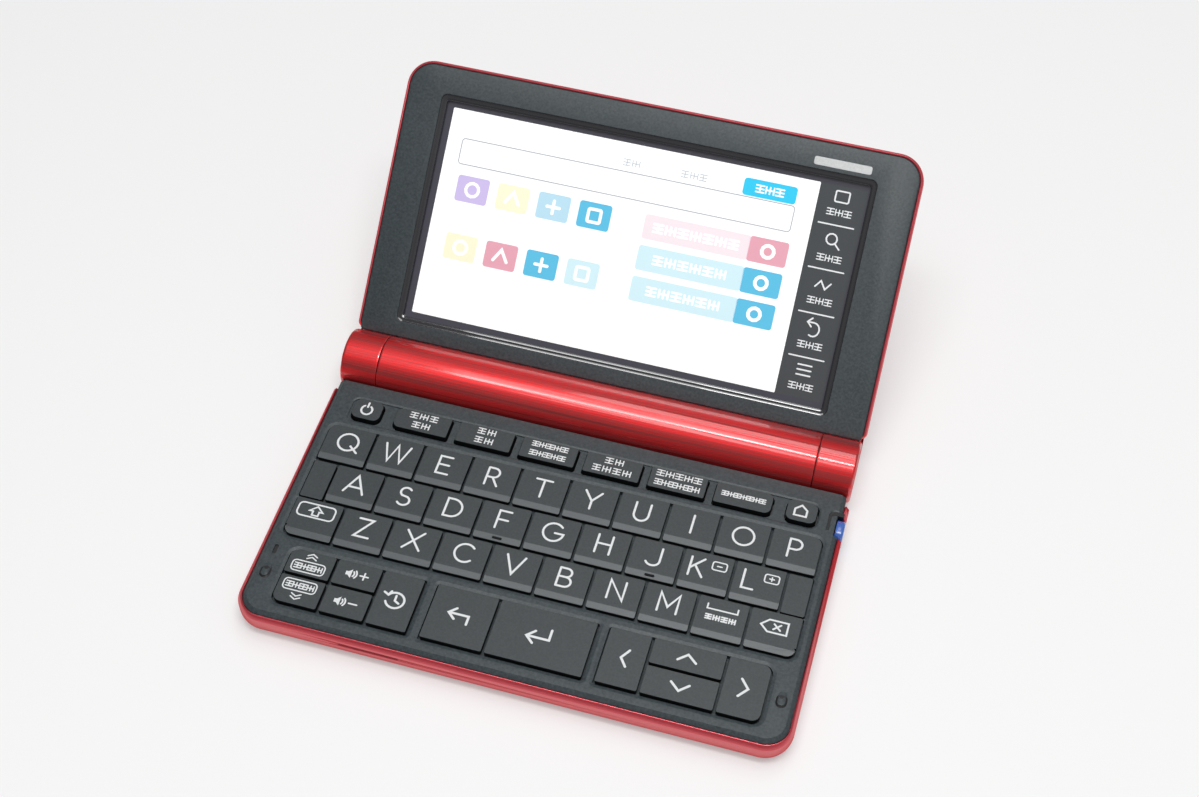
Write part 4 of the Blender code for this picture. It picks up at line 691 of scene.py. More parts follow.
# Key legends. White ink printed on the caps in even strokes a little over half a millimetre wide.
# Where the real caps carry words, plain ruled blocks stand in their places.
STROKE = 0.3
LETTER_HEIGHT = 5.6
LETTERS = {
    "a": (0.98, [[(0, 0), (0.49, 1), (0.98, 0)], [(0.17, 0.32), (0.81, 0.32)]]),
    "b": (0.66, [[(0, 0), (0, 1)], [(0, 1), (0.34, 1)] + bow(0.34, 0.765, 0.25, 0.235, 90, -90) + [(0, 0.53)],
                 [(0.34, 0.53)] + bow(0.37, 0.265, 0.29, 0.265, 90, -90) + [(0, 0)]]),
    "c": (0.86, [bow(0.5, 0.5, 0.5, 0.5, 44, 316, 18)]),
    "d": (0.8, [[(0, 0), (0, 1), (0.3, 1)] + bow(0.3, 0.5, 0.5, 0.5, 82, -90, 14)]),
    "e": (0.6, [[(0.6, 1), (0, 1), (0, 0), (0.6, 0)], [(0, 0.52), (0.54, 0.52)]]),
    "f": (0.58, [[(0.58, 1), (0, 1), (0, 0)], [(0, 0.5), (0.52, 0.5)]]),
    "g": (1.0, [bow(0.5, 0.5, 0.5, 0.5, 44, 350, 20) + [(1.0, 0.47), (0.58, 0.47)]]),
    "h": (0.7, [[(0, 0), (0, 1)], [(0.7, 0), (0.7, 1)], [(0, 0.52), (0.7, 0.52)]]),
    "i": (0.0, [[(0, 0), (0, 1)]]),
    "j": (0.54, [[(0.54, 1), (0.54, 0.28)] + bow(0.2, 0.28, 0.34, 0.28, -10, -155, 8)]),
    "k": (0.66, [[(0, 0), (0, 1)], [(0.62, 1), (0, 0.38)], [(0.22, 0.6), (0.66, 0)]]),
    "l": (0.54, [[(0, 1), (0, 0), (0.54, 0)]]),
    "m": (0.9, [[(0, 0), (0, 1), (0.45, 0.28), (0.9, 1), (0.9, 0)]]),
    "n": (0.74, [[(0, 0), (0, 1), (0.74, 0), (0.74, 1)]]),
    "o": (1.02, [bow(0.51, 0.5, 0.51, 0.5, 0, 345, 23)]),
    "p": (0.6, [[(0, 0), (0, 1)], [(0, 1), (0.3, 1)] + bow(0.3, 0.72, 0.3, 0.28, 90, -90) + [(0, 0.44)]]),
    "q": (1.02, [bow(0.51, 0.5, 0.51, 0.5, 0, 345, 23), [(0.7, 0.3), (1.1, -0.02)]]),
    "r": (0.62, [[(0, 0), (0, 1)], [(0, 1), (0.3, 1)] + bow(0.3, 0.73, 0.28, 0.27, 90, -90) + [(0, 0.46)],
                 [(0.3, 0.46), (0.62, 0)]]),
    "s": (0.62, [bow(0.32, 0.745, 0.27, 0.255, 40, 235, 10) + bow(0.31, 0.255, 0.31, 0.265, 62, -145, 12)]),
    "t": (0.8, [[(0, 1), (0.8, 1)], [(0.4, 1), (0.4, 0)]]),
    "u": (0.72, [[(0, 1), (0, 0.36)] + bow(0.36, 0.36, 0.36, 0.36, 190, 350, 12)
                 + [(0.72, 0.36), (0.72, 1)]]),
    "v": (0.9, [[(0, 1), (0.45, 0), (0.9, 1)]]),
    "w": (1.26, [[(0, 1), (0.32, 0), (0.63, 1), (0.94, 0), (1.26, 1)]]),
    "x": (0.84, [[(0, 0), (0.84, 1)], [(0, 1), (0.84, 0)]]),
    "y": (0.82, [[(0, 1), (0.41, 0.46), (0.82, 1)], [(0.41, 0.46), (0.41, 0)]]),
    "z": (0.7, [[(0, 1), (0.7, 1), (0, 0), (0.72, 0)]]),
}
ROUND_LETTERS = "doq"
BESIDE_MARK = {"k": -2.6, "l": -2.6}


def ribbon(shape, points, half, z, closed=False):
    """A flat stroke of even width along the points, with round ends and mitred corners."""
    line = []
    for point in points:
        if not line or (Vector(point) - line[-1]).length > 0.02:
            line.append(Vector(point))
    count = len(line)
    sides = []
    for i, point in enumerate(line):
        before = line[i - 1] if i > 0 or closed else None
        after = line[(i + 1) % count] if i < count - 1 or closed else None
        way_in = (point - before).normalized() if before is not None else None
        way_out = (after - point).normalized() if after is not None else None
        if way_in is None or way_out is None:
            way = way_in or way_out
            reach = half
        else:
            way = (way_in + way_out).normalized()
            reach = min(half / max(way.dot(way_out), 0.3), half * 2.4)
        across = Vector((-way.y, way.x)) * reach
        sides.append((shape.verts.new((*(point + across), z)), shape.verts.new((*(point - across), z))))
    pairs = list(zip(sides, sides[1:])) + ([(sides[-1], sides[0])] if closed else [])
    for (left, right), (next_left, next_right) in pairs:
        shape.faces.new((right, next_right, next_left, left))
    if closed:
        return
    for at_start in (True, False):
        tip = line[0] if at_start else line[-1]
        left, right = sides[0] if at_start else sides[-1]
        way = line[0] - line[1] if at_start else line[-1] - line[-2]
        facing = math.atan2(way.y, way.x)
        turns = [facing + math.pi * (step / 6 - 0.5) for step in range(1, 6)]
        fan = [shape.verts.new((tip.x + half * math.cos(turn), tip.y + half * math.sin(turn), z))
               for turn in turns]
        ends = (left, right) if at_start else (right, left)
        shape.faces.new([ends[0], *fan, ends[1]])


def draw_strokes(strokes, z, half, step=0.004):
    """Flat line work: open lines, ("ring", points) for closed ones and ("solid", points) for filled areas."""
    shape = bmesh.new()
    for index, stroke in enumerate(strokes):
        lift = z + step * (index % 6)
        if stroke[0] == "solid":
            shape.faces.new([shape.verts.new((x, y, lift)) for x, y in stroke[1]])
        elif stroke[0] == "ring":
            ribbon(shape, stroke[1], half, lift, True)
        else:
            ribbon(shape, stroke, half, lift)
    for face in shape.faces:
        face.normal_update()
        if face.normal.z < 0:
            face.normal_flip()
    return shape


def ring_box(x0, x1, y0, y1, radius):
    """A closed line round a box with rounded corners."""
    return "ring", rounded(x0, x1, y0, y1, [radius] * 4, 4)


def ring_dot(x, y, radius):
    """A closed round line."""
    return "ring", bow(x, y, radius, radius, 0, 330, 11)


def print_on(key, strokes, z, half=STROKE, mark=""):
    """Prints strokes on a key's cap."""
    shape = draw_strokes(strokes, z + 0.02, half)
    return settle(make_part(f"legend_{key}{mark}", shape, ink), f"key_{key}", "key_plastic")


def letter_strokes(letter, x, y):
    """The strokes of one letter, centred on (x, y)."""
    width, strokes = LETTERS[letter]
    placed = []
    for stroke in strokes:
        points = [(x + (px - width / 2) * LETTER_HEIGHT, y + (py - 0.5) * LETTER_HEIGHT) for px, py in stroke]
        closed = letter in ROUND_LETTERS and stroke is strokes[0]
        placed.append(("ring", points) if closed else points)
    return placed


def ruled_blocks(x, y, count, size, pitch):
    """A row of ruled blocks the size of a word's letters; every second block is ruled upright."""
    marks = []
    wide = size * 0.5
    tall = size * 0.42
    for index in range(count):
        cx = x + (index - (count - 1) / 2) * pitch
        for share in (-1, 0, 1):
            if index % 2:
                marks.append([(cx + share * wide, y - tall), (cx + share * wide, y + tall)])
            else:
                marks.append([(cx - wide, y + share * tall), (cx + wide, y + share * tall)])
        marks.append([(cx - wide, y), (cx + wide, y)] if index % 2 else [(cx, y - tall), (cx, y + tall)])
    return marks


def middle_x(key):
    """The middle of a key, from left to right."""
    x0, x1, y0, y1 = footprint(f"key_{key}")
    return (x0 + x1) / 2


ink = moulded("white ink", (0.72, 0.74, 0.75), (0.77, 0.79, 0.8), 2500.0, 0.45, 0.002)
for row_y, row_keys in ((7.25, "qwertyuiop"), (-5.35, "asdfghjkl"), (-18.0, "zxcvbnm")):
    for key in row_keys:
        print_on(key, letter_strokes(key, middle_x(key) + BESIDE_MARK.get(key, 0.0), row_y), KEY_TOP)
for key, x in (("k", 45.0), ("l", 59.0)):
    strokes = [ring_box(x - 1.9, x + 1.9, -5.0, -2.5, 0.6), [(x - 0.6, -3.75), (x + 0.6, -3.75)]]
    if key == "l":
        strokes.append([(x, -4.3), (x, -3.2)])
    print_on(key, strokes, KEY_TOP, 0.19, "_box")

up_arrow = [(-62.85, -15.0), (-61.0, -16.6), (-62.0, -16.6), (-62.0, -17.9), (-63.7, -17.9), (-63.7, -16.6),
            (-64.7, -16.6)]
print_on("shift", [ring_box(-68.0, -57.7, -18.6, -14.4, 1.2), ("ring", up_arrow)], KEY_TOP, 0.23)
mid = middle_x("space")
tray = [(mid - 4.0, -15.2), (mid - 4.0, -16.6), (mid + 4.0, -16.6), (mid + 4.0, -15.2)]
print_on("space", [tray] + ruled_blocks(mid, -19.0, 4, 1.5, 2.1), KEY_TOP, 0.22)
mid = middle_x("delete")
tag = [(mid - 3.6, -17.4), (mid - 1.6, -15.6), (mid + 3.4, -15.6), (mid + 3.4, -19.2), (mid - 1.6, -19.2)]
print_on("delete", [("ring", tag), [(mid - 0.2, -16.6), (mid + 1.6, -18.2)],
                    [(mid - 0.2, -18.2), (mid + 1.6, -16.6)]], KEY_TOP, 0.25)

for key, box_y, tip in (("page_up", -33.65, 1), ("page_down", -39.45, -1)):
    strokes = [ring_box(-63.0, -54.0, box_y - 1.6, box_y + 1.6, 1.0)]
    strokes += ruled_blocks(-58.5, box_y, 4, 1.7, 1.95)
    for lift in (0.0, 0.95):
        y = box_y + tip * (2.5 + lift)
        strokes.append([(-59.8, y), (-58.5, y + tip * 0.7), (-57.2, y)])
    print_on(key, strokes, GROUP_TOP, 0.18)
for key, y in (("volume_up", -32.3), ("volume_down", -40.9)):
    x = -47.0
    horn = [(x - 1.5, y - 0.55), (x - 0.8, y - 0.55), (x + 0.1, y - 1.35), (x + 0.1, y + 1.35),
            (x - 0.8, y + 0.55), (x - 1.5, y + 0.55)]
    strokes = [("solid", horn), bow(x + 0.1, y, 0.75, 0.9, -50, 50, 6),
               bow(x + 0.1, y, 1.45, 1.5, -45, 45, 6), [(x + 2.5, y), (x + 4.7, y)]]
    if key == "volume_up":
        strokes.append([(x + 3.6, y - 1.0), (x + 3.6, y + 1.0)])
    print_on(key, strokes, GROUP_TOP, 0.22)
print_on("history", [bow(-33.3, -36.8, 2.5, 2.3, 150, -160, 18),
                     [(-36.7, -35.0), (-35.5, -35.6), (-34.9, -34.4)],
                     [(-33.3, -35.4), (-33.3, -36.9), (-32.1, -37.5)]], GROUP_TOP)
print_on("back", [[(-13.4, -38.6), (-13.4, -36.2), (-18.6, -36.2)],
                  [(-17.0, -34.6), (-18.8, -36.2), (-17.0, -37.8)]], GROUP_TOP, 0.33)
print_on("enter", [[(8.4, -34.2), (8.4, -37.2), (2.6, -37.2)], [(4.4, -35.4), (2.4, -37.2), (4.4, -39.0)]],
         GROUP_TOP, 0.33)
for key, points in (("left", [(29.0, -34.3), (27.3, -36.8), (29.0, -39.1)]),
                    ("up", [(41.2, -33.4), (43.6, -31.4), (46.0, -33.4)]),
                    ("down", [(41.2, -39.9), (43.6, -42.0), (46.0, -39.9)]),
                    ("right", [(58.2, -34.3), (60.3, -36.8), (58.2, -39.3)])):
    print_on(key, [points], GROUP_TOP, 0.32)
print_on("power", [bow(-61.65, 19.0, 1.55, 1.55, 125, 415, 18), [(-61.65, 20.0), (-61.65, 21.4)]],
         FUNCTION_TOP, 0.28)
roof = [(61.75, 21.0), (63.4, 19.6), (63.4, 17.6), (60.1, 17.6), (60.1, 19.6)]
print_on("home", [("ring", roof)], FUNCTION_TOP, 0.27)
WORDS = (((3, 2.0, 2.9), (2, 2.0, 2.8)), ((2, 2.0, 2.9), (2, 2.0, 2.9)), ((5, 1.7, 2.1), (5, 1.7, 2.1)),
         ((2, 2.0, 2.9), (4, 2.0, 2.85)), ((5, 2.0, 2.6), (6, 1.85, 2.1)), ((7, 1.5, 1.75), None))
for index, ((x, width, radii), (upper, lower)) in enumerate(zip(FUNCTION_KEYS[1:-1], WORDS)):
    strokes = ruled_blocks(x, 20.95 if lower else 19.3, *upper)
    if lower:
        strokes += ruled_blocks(x, 17.95, *lower)
    word = make_part(f"legend_shortcut_{index + 1}", draw_strokes(strokes, FUNCTION_TOP + 0.02, 0.17), ink)
    settle(word, "shortcut_keys", "key_plastic")

# Stylus. A pen of translucent blue plastic kept in a bay in the right side, drawn out by its oval tail.
# Its thin shaft tapers to a blunt tip at the far end of the bay.
TAIL_HALF_WIDTH = 3.2
TAIL_SQUARENESS = 0.7
TAIL_LEVELS = ((71.7, 0.93), (71.78, 0.98), (71.95, 1.0), (73.2, 1.0), (73.55, 0.985), (73.82, 0.95),
               (74.0, 0.89), (74.07, 0.81))
SHAFT_LEVELS = ((-12.0, 0.3), (-11.8, 0.5), (-6.0, 1.2), (60.0, 1.2), (60.3, 1.05), (61.0, 1.05), (61.3, 1.2),
                (71.8, 1.2))


def squared(value):
    """Pulls a circle's cosine or sine towards the corners of a rounded box."""
    return math.copysign(abs(value) ** TAIL_SQUARENESS, value)


stylus_blue, blue_shader = new_finish("stylus blue", Coat_Weight=1.0, Coat_Roughness=0.04,
                                      Subsurface_Weight=0.1, Subsurface_Scale=0.002)
lay_on(stylus_blue, blue_shader, grain,
       {"Colour": (0.04, 0.12, 0.46, 1.0), "Second Colour": (0.055, 0.15, 0.52, 1.0), "Roughness": 0.2},
       0.004, 0.5)
turns = [math.tau * i / 48 for i in range(48)]
tail = [[(x, STYLUS_Y + TAIL_HALF_WIDTH * share * squared(math.cos(turn)),
          TAIL_Z + TAIL_HALF_HEIGHT * share * squared(math.sin(turn))) for turn in turns]
        for x, share in TAIL_LEVELS]
shaft = [along_x(oval((STYLUS_Y, BORE_Z), reach, reach, 24), x) for x, reach in SHAFT_LEVELS]
pen = make_part("stylus_pen", lofted(tail, shaft), stylus_blue)
settle(pen, "stylus", "stylus_blue", "stylus")

# Battery barrel. A red skin over the front and top of the two cells, lacquered with streaks that run
# lengthwise. The cover under and behind the cells slides off to the rear, and has five grip grooves under it.
# A thin black ring fills the seam at each end: painted shade, so that the seam reads dark.
BARREL_RADIUS = 8.47
SKIN_REAR = -12.34
SKIN_FRONT = 192.34
SKIN_ENDS = ((-62.45, 0.16), (-62.41, 0.06), (-62.3, 0.0), (-62.0, 0.0), (62.0, 0.0), (62.3, 0.0),
             (62.41, 0.06), (62.45, 0.16))
SHADE_RING_STEPS = 64
AXIS_PLACE = BASE_PLACE @ Matrix.Translation((0.0, AXIS_Y, AXIS_Z))


def tube_line(radius, start, end, steps):
    """Points of an arc about the hinge axis, in degrees from the rear over the top."""
    return bow(0.0, 0.0, radius, radius, start, end, steps)


barrel_red, barrel_shader = new_finish("red metallic barrel paint", Metallic=0.75, Coat_Roughness=0.08,
                                       Coat_IOR=1.75)
streaks = lay_on(barrel_red, barrel_shader, flake_paint, {"Streak Amount": 1.0, "Roughness": 0.38},
                 0.045, 0.9)
wire(barrel_red.node_tree, ((streaks, "Gloss"), (barrel_shader, "Coat Weight")))
skin_rings = []
for x, wear in SKIN_ENDS:
    skin = tube_line(BARREL_RADIUS - wear, SKIN_REAR, SKIN_FRONT, 96)
    skin += tube_line(BARREL_RADIUS - 0.8, SKIN_FRONT, SKIN_REAR, 96)
    skin_rings.append(along_x(skin, x))
barrel = make_part("barrel_skin", lofted(skin_rings), barrel_red, AXIS_PLACE)
settle(barrel, "base", "red_shell", "barrel_cover")
dress("battery_cover", barrel_red)
# Black rings set in the two seams: painted shade, so that each seam reads dark.
shade_rings = bmesh.new()
for x in (-62.64, 62.44):
    rows = [[shade_rings.verts.new(point) for point in along_x(oval((0.0, 0.0), reach, reach, SHADE_RING_STEPS), at)]
            for at, reach in ((x, 4.7), (x, 7.6), (x + 0.2, 7.6), (x + 0.2, 4.7))]
    for a, b in zip(rows, rows[1:] + rows[:1]):
        for i in range(SHADE_RING_STEPS):
            j = (i + 1) % SHADE_RING_STEPS
            shade_rings.faces.new((a[i], a[j], b[j], b[i]))
bmesh.ops.recalc_face_normals(shade_rings, faces=shade_rings.faces)
settle(make_part("seam_shade_rings", shade_rings, black_moulding_and_shade, AXIS_PLACE), "base", "black_plastic")

# Cells. Two AA cells lie end to end in the barrel, pressed against their contacts by the spring.
# Each has a plain dark jacket shrunk over its steel can, which leaves the nickelled ends bare.
CELL_TURNING = ((0.0, 5.9), (0.12, 6.5), (0.5, 6.95), (0.9, 7.2), (48.0, 7.2), (48.5, 7.0), (48.75, 6.5),
                (48.8, 5.6), (48.9, 2.95), (49.2, 2.75), (50.1, 2.7), (50.3, 2.4))
JACKET_START = 0.45
JACKET_END = 48.6
cell_wrap = moulded("plain cell jacket", (0.03, 0.03, 0.035), (0.04, 0.04, 0.045), 1200.0, 0.25, 0.005,
                    Coat_Weight=0.6)
for side, start in (("left", -50.45), ("right", 0.15)):
    rings = [along_x(oval((0.0, 0.0), reach, reach, 48), start + x) for x, reach in CELL_TURNING]
    cell = make_part(f"cell_{side}", lofted(rings), cell_wrap, AXIS_PLACE)
    cell.data.materials.append(nickel)
    for polygon in cell.data.polygons:
        x = polygon.center.x / MM - start
        if x < JACKET_START or x > JACKET_END:
            polygon.material_index = 1
    settle(cell, "base", "cell_jacket", f"battery_{side}")

# Lid cover. The red shell behind the screen, with a round hinge knuckle moulded on each lower corner and a
# narrow lip over the barrel. Its rim shows as a thin line round the frame, and its back is plain. The
# round of the knuckles and the lip have the barrel's streaked lacquer, and the rest has the case's paint.
LID_PLACE = AXIS_PLACE @ Matrix.Rotation(math.radians(40.15), 4, "X")
LID_TOP = 87.35
LID_FOOT_Y = 9.2
LID_INNER_FOOT_Y = 10.4
LID_BACK = -8.47
LID_WALL = 1.2
LID_EDGE_HEIGHT = 3.0
BEZEL_Z = -1.89
NECK_TOP = -5.0


def lid_plan(inset, bottom, foot=1.5):
    """The lid's outline, drawn in by the inset."""
    radius = CASE_CORNER - inset
    return rounded(-HALF_WIDTH + inset, HALF_WIDTH - inset, bottom, LID_TOP - inset,
                   (foot, foot, radius, radius), CORNER_STEPS, SIDE_GUARD)


lid_rim = ((0.86, -0.36), (0.8, -0.21), (0.66, -0.13), (0.5, -0.12), (0.34, -0.2), (0.2, -0.36), (0.08, -0.7),
           (0.02, -1.2), (0.0, -1.8))
edge_top = LID_BACK + LID_EDGE_HEIGHT
outer = [(inset, BEZEL_Z + z) for inset, z in lid_rim]
outer += [(inset, edge_top - drop) for inset, drop in quarter(4.2, LID_EDGE_HEIGHT, 9)]
inner = [(inset + LID_WALL, edge_top - drop)
         for inset, drop in quarter(3.0, LID_EDGE_HEIGHT - LID_WALL, 5)][::-1]
rings = [at_height(lid_plan(inset, LID_INNER_FOOT_Y, 1.0), z) for inset, z in inner]
rings += [at_height(lid_plan(LID_WALL, LID_INNER_FOOT_Y, 1.0), BEZEL_Z - 1.5),
          at_height(lid_plan(lid_rim[0][0], LID_FOOT_Y), BEZEL_Z - 1.5)]
rings += [at_height(lid_plan(inset, LID_FOOT_Y), z) for inset, z in outer]
neck_start = math.degrees(math.asin(NECK_TOP / BARREL_RADIUS))
profile = tube_line(BARREL_RADIUS, neck_start, 281.0, 72) + [(10.2, -8.32), (10.2, NECK_TOP)]
knuckle_ends = [(62.65, 0.16), (62.69, 0.06), (62.8, 0.0), (63.1, 0.0), (72.3, 0.0), (72.6, 0.0)]
knuckle_ends += [(72.6 + drop, inset) for inset, drop in quarter(0.75, 0.75, 5)[1:]]
knuckles = []
for side in (-1, 1):
    knuckle = []
    for x, inset in knuckle_ends:
        share = 1 - inset / BARREL_RADIUS
        knuckle.append([(side * x, y * share if y < 9.0 else y, z * share) for y, z in profile])
    knuckles.append(knuckle)
lip = [(7.06, NECK_TOP), (6.03, -6.2), (LID_INNER_FOOT_Y, -6.2), (LID_INNER_FOOT_Y, NECK_TOP)]
shell = make_part("lid_shell", lofted(rings, *knuckles, lying(lip, -63.0, 63.0)), barrel_red, LID_PLACE)
shell.data.materials.append(red_paint)
for polygon in shell.data.polygons:
    lid_y = (LID_PLACE.inverted() @ polygon.center).y
    if lid_y > 10.3 or abs(polygon.normal.x) > 0.99:
        polygon.material_index = 1
settle(shell, "lid", "red_shell", "lid_cover")

# Lid frame. A satin slate moulding round the screen, set into the red cover. Inside it a polished black trim
# steps down to the glass, and two of its ledges are tilted so that they catch the light.
WINDOW = (-63.0, 62.0, 13.05, 78.8)
FRAME_INSET = 0.94
FRAME_FOOT_Y = 8.46
TRIM_PROFILE = ((-0.1, -0.9, 1.9), (0.0, -0.33, 1.9), (0.06, -0.3, 1.8), (0.48, -0.41, 1.4),
                (0.54, -0.42, 1.4), (1.04, -0.42, 1.0), (1.1, -0.43, 1.0), (1.5, -0.54, 0.7),
                (1.58, -0.6, 0.7), (1.64, -0.75, 0.7), (1.66, -1.0, 0.7), (1.68, -1.95, 0.7))


def window_plan(inset, radius):
    """The window's outline, drawn in by the inset."""
    x0, x1, y0, y1 = WINDOW
    return rounded(x0 + inset, x1 - inset, y0 + inset, y1 - inset, [radius] * 4, 12, 0.3)


edge_rings = [(0.0, -1.2), (0.0, -0.5), (0.04, -0.33), (0.14, -0.17), (0.3, -0.06), (0.52, 0.0)]
rings = standing(lid_plan(2.45, 10.9, 1.0), BEZEL_Z - 1.6, BEZEL_Z - 1.2)
rings += [at_height(lid_plan(FRAME_INSET + inset, FRAME_FOOT_Y + inset, 1.2), BEZEL_Z + z)
          for inset, z in edge_rings]
bezel = make_part("lid_frame", lofted(rings), slate, LID_PLACE)
cut_away(bezel, [lofted(standing(window_plan(0.0, 1.8), BEZEL_Z - 3.0, BEZEL_Z + 1.0))], LID_PLACE)
ease_edges(bezel, 0.14, 3)
settle(bezel, "lid", "slate_panel", "lid_bezel")
polished = moulded("polished black trim", (0.005, 0.005, 0.009), (0.007, 0.007, 0.012), 3000.0, 0.1, 0.001,
                   Coat_Weight=1.0, Coat_Roughness=0.03, Coat_IOR=1.8)
trim_shape = bmesh.new()
rows = [[trim_shape.verts.new((x, y, BEZEL_Z + z)) for x, y in window_plan(inset, radius)]
        for inset, z, radius in TRIM_PROFILE]
for outside, inside in zip(rows, rows[1:]):
    for i in range(len(outside)):
        j = (i + 1) % len(outside)
        trim_shape.faces.new((outside[i], outside[j], inside[j], inside[i]))
trim = make_part("window_trim", trim_shape, polished, LID_PLACE, 25.0)
settle(trim, "lid", "slate_panel")
dress("lcd_module", nickel)

# Touch panel. A clear glass bonded over the display and over a dark strip of touch symbols at its right.
# The display shows a plain bright page of its own: tiles, buttons, a search box and tabs.
GLASS_Z = -3.74
GLASS_MARGIN = 0.7
LAYER = 0.012
DISPLAY_Y = (16.41, 75.61)
STRIP_X = (46.7, 59.9)
SYMBOL_X = 53.3
BUTTON_HEIGHT = 7.0
TILE_WIDTH = 9.4
TILE_HEIGHT = 7.4


def shown(name, colour, glow=0.3):
    """A lit area of the display under the glass."""
    finish, shader = new_finish(name, Coat_Weight=1.0, Coat_Roughness=0.04, Emission_Strength=glow)
    shader.inputs["Emission Color"].default_value = (*colour, 1.0)
    lay_on(finish, shader, grain, {"Colour": (*colour, 1.0), "Second Colour": (*colour, 1.0),
                                   "Roughness": 0.15, "Grain Scale": 6000.0}, 0.001, 0.2)
    return finish


def drawn(name, strokes, finish, half, level=3):
    """Line work on the glass; level keeps later marks above earlier ones."""
    shape = draw_strokes(strokes, GLASS_Z + LAYER * (level + 1), half, 0.002)
    return settle(make_part(name, shape, finish, LID_PLACE), "lid", "screen_glass")


def tile(name, x0, x1, y0, y1, radius, finish, level=1):
    """A flat printed area on the glass."""
    return drawn(name, [("solid", rounded(x0, x1, y0, y1, [radius] * 4))], finish, 0.0, level)


glass_black = moulded("black glass", (0.06, 0.058, 0.078), (0.066, 0.064, 0.085), 3000.0, 0.06, 0.001,
                      Coat_Weight=1.0, Coat_Roughness=0.03)
x0, x1, y0, y1 = WINDOW
glass_plan = rounded(x0 + GLASS_MARGIN, x1 - GLASS_MARGIN, y0 + GLASS_MARGIN, y1 - GLASS_MARGIN, [0.9] * 4)
glass = make_part("touch_glass", lofted(standing(glass_plan, GLASS_Z - 1.0, GLASS_Z)), glass_black, LID_PLACE)
ease_edges(glass, 0.1)
settle(glass, "lid", "screen_glass", "touch_panel")
white_page = shown("display white", (0.94, 0.95, 0.95))
grey_line = shown("display grey line", (0.42, 0.44, 0.47))
pale_mark = shown("display pale mark", (0.5, 0.54, 0.58))
tab_blue = shown("display tab blue", (0.02, 0.54, 0.81))
bright_blue = shown("display bright blue", (0.1, 0.5, 0.74), 0.25)
sky = shown("display sky blue", (0.45, 0.68, 0.8))
pale_sky = shown("display pale sky", (0.59, 0.79, 0.85))
rose = shown("display rose", (0.76, 0.36, 0.44), 0.25)
pale_rose = shown("display pale rose", (0.84, 0.74, 0.78))
violet = shown("display violet", (0.56, 0.47, 0.76))
butter = shown("display butter yellow", (0.87, 0.85, 0.62))

tile("display_page", -59.4, STRIP_X[0], *DISPLAY_Y, 0.3, white_page, 0)
tile("display_tab", 26.0, 41.0, 68.0, 72.8, 0.9, tab_blue)
drawn("display_search_box", [ring_box(-55.0, 41.2, 60.4, 67.6, 0.9)], grey_line, 0.15, 2)
drawn("display_tab_marks", ruled_blocks(12.0, 70.2, 3, 2.0, 2.6) + ruled_blocks(-6.0, 70.2, 2, 2.0, 2.6),
      pale_mark, 0.13, 2)
drawn("display_tab_word", ruled_blocks(33.5, 70.4, 3, 2.2, 2.8), white_page, 0.22)
for label, y, strong, pale, count in (("rose", 50.4, rose, pale_rose, 7),
                                      ("sky_1", 41.6, bright_blue, pale_sky, 6),
                                      ("sky_2", 32.8, bright_blue, pale_sky, 6)):
    mid = y + BUTTON_HEIGHT / 2
    tile(f"button_{label}", 31.0, 42.0, y, y + BUTTON_HEIGHT, 0.8, strong)
    tile(f"button_{label}_label", 1.0, 31.2, y, y + BUTTON_HEIGHT, 0.8, pale)
    drawn(f"button_{label}_word", ruled_blocks(16.0, mid, count, 2.6, 3.6), white_page, 0.3)
    drawn(f"button_{label}_motif", [ring_dot(36.5, mid, 1.7)], white_page, 0.5)
TILES = ((-54.0, 50.0, violet), (-42.0, 50.0, butter), (-30.0, 50.0, sky), (-18.0, 50.0, bright_blue),
         (-54.0, 33.4, butter), (-42.0, 33.4, rose), (-30.0, 33.4, bright_blue), (-18.0, 33.4, pale_sky))
for index, (x, y, finish) in enumerate(TILES):
    tile(f"tile_{index + 1}", x, x + TILE_WIDTH, y, y + TILE_HEIGHT, 0.8, finish)
    cx = x + TILE_WIDTH / 2
    cy = y + TILE_HEIGHT / 2
    motifs = ([ring_dot(cx, cy, 1.9)],
              [[(cx - 2.0, cy - 1.4), (cx, cy + 1.8), (cx + 2.0, cy - 1.4)]],
              [[(cx - 1.8, cy), (cx + 1.8, cy)], [(cx, cy - 1.8), (cx, cy + 1.8)]],
              [ring_box(cx - 1.8, cx + 1.8, cy - 1.8, cy + 1.8, 0.4)])
    drawn(f"tile_motif_{index + 1}", motifs[index % 4], white_page, 0.45)
strip_glass = moulded("symbol strip glass", (0.06, 0.067, 0.073), (0.066, 0.073, 0.079), 3000.0, 0.1, 0.001,
                      Coat_Weight=1.0, Coat_Roughness=0.03)
tile("symbol_strip", *STRIP_X, *DISPLAY_Y, 0.3, strip_glass, 0)
symbol_white = shown("symbol white", (0.8, 0.82, 0.84), 0.15)
x = SYMBOL_X
separators = [[(48.3, v - 27.29), (58.1, v - 27.29)] for v in (92.1, 79.7, 67.3, 55.0)]
drawn("symbol_separators", separators, symbol_white, 0.2, 1)
symbols = [ring_box(x - 1.9, x + 1.9, 71.2, 74.2, 0.4),
           ring_dot(x - 0.4, 60.9, 1.5), [(x + 0.7, 59.8), (x + 2.1, 58.4)],
           [(x - 2.1, 47.4), (x - 0.7, 49.2), (x + 0.7, 47.0), (x + 2.1, 48.8)],
           bow(x, 35.6, 1.7, 1.9, -120, 90) + [(x - 1.8, 37.5)],
           [(x - 0.7, 36.3), (x - 1.9, 37.5), (x - 0.7, 38.7)]]
symbols += [[(x - 1.9, y), (x + 1.9, y)] for y in (25.6, 24.2, 22.8)]
drawn("symbols", symbols, symbol_white, 0.22, 1)
captions = []
for v in (68.3, 55.6, 43.6, 31.2, 19.6):
    captions += ruled_blocks(x, v, 3, 1.9, 2.4)
drawn("symbol_captions", captions, symbol_white, 0.15, 1)

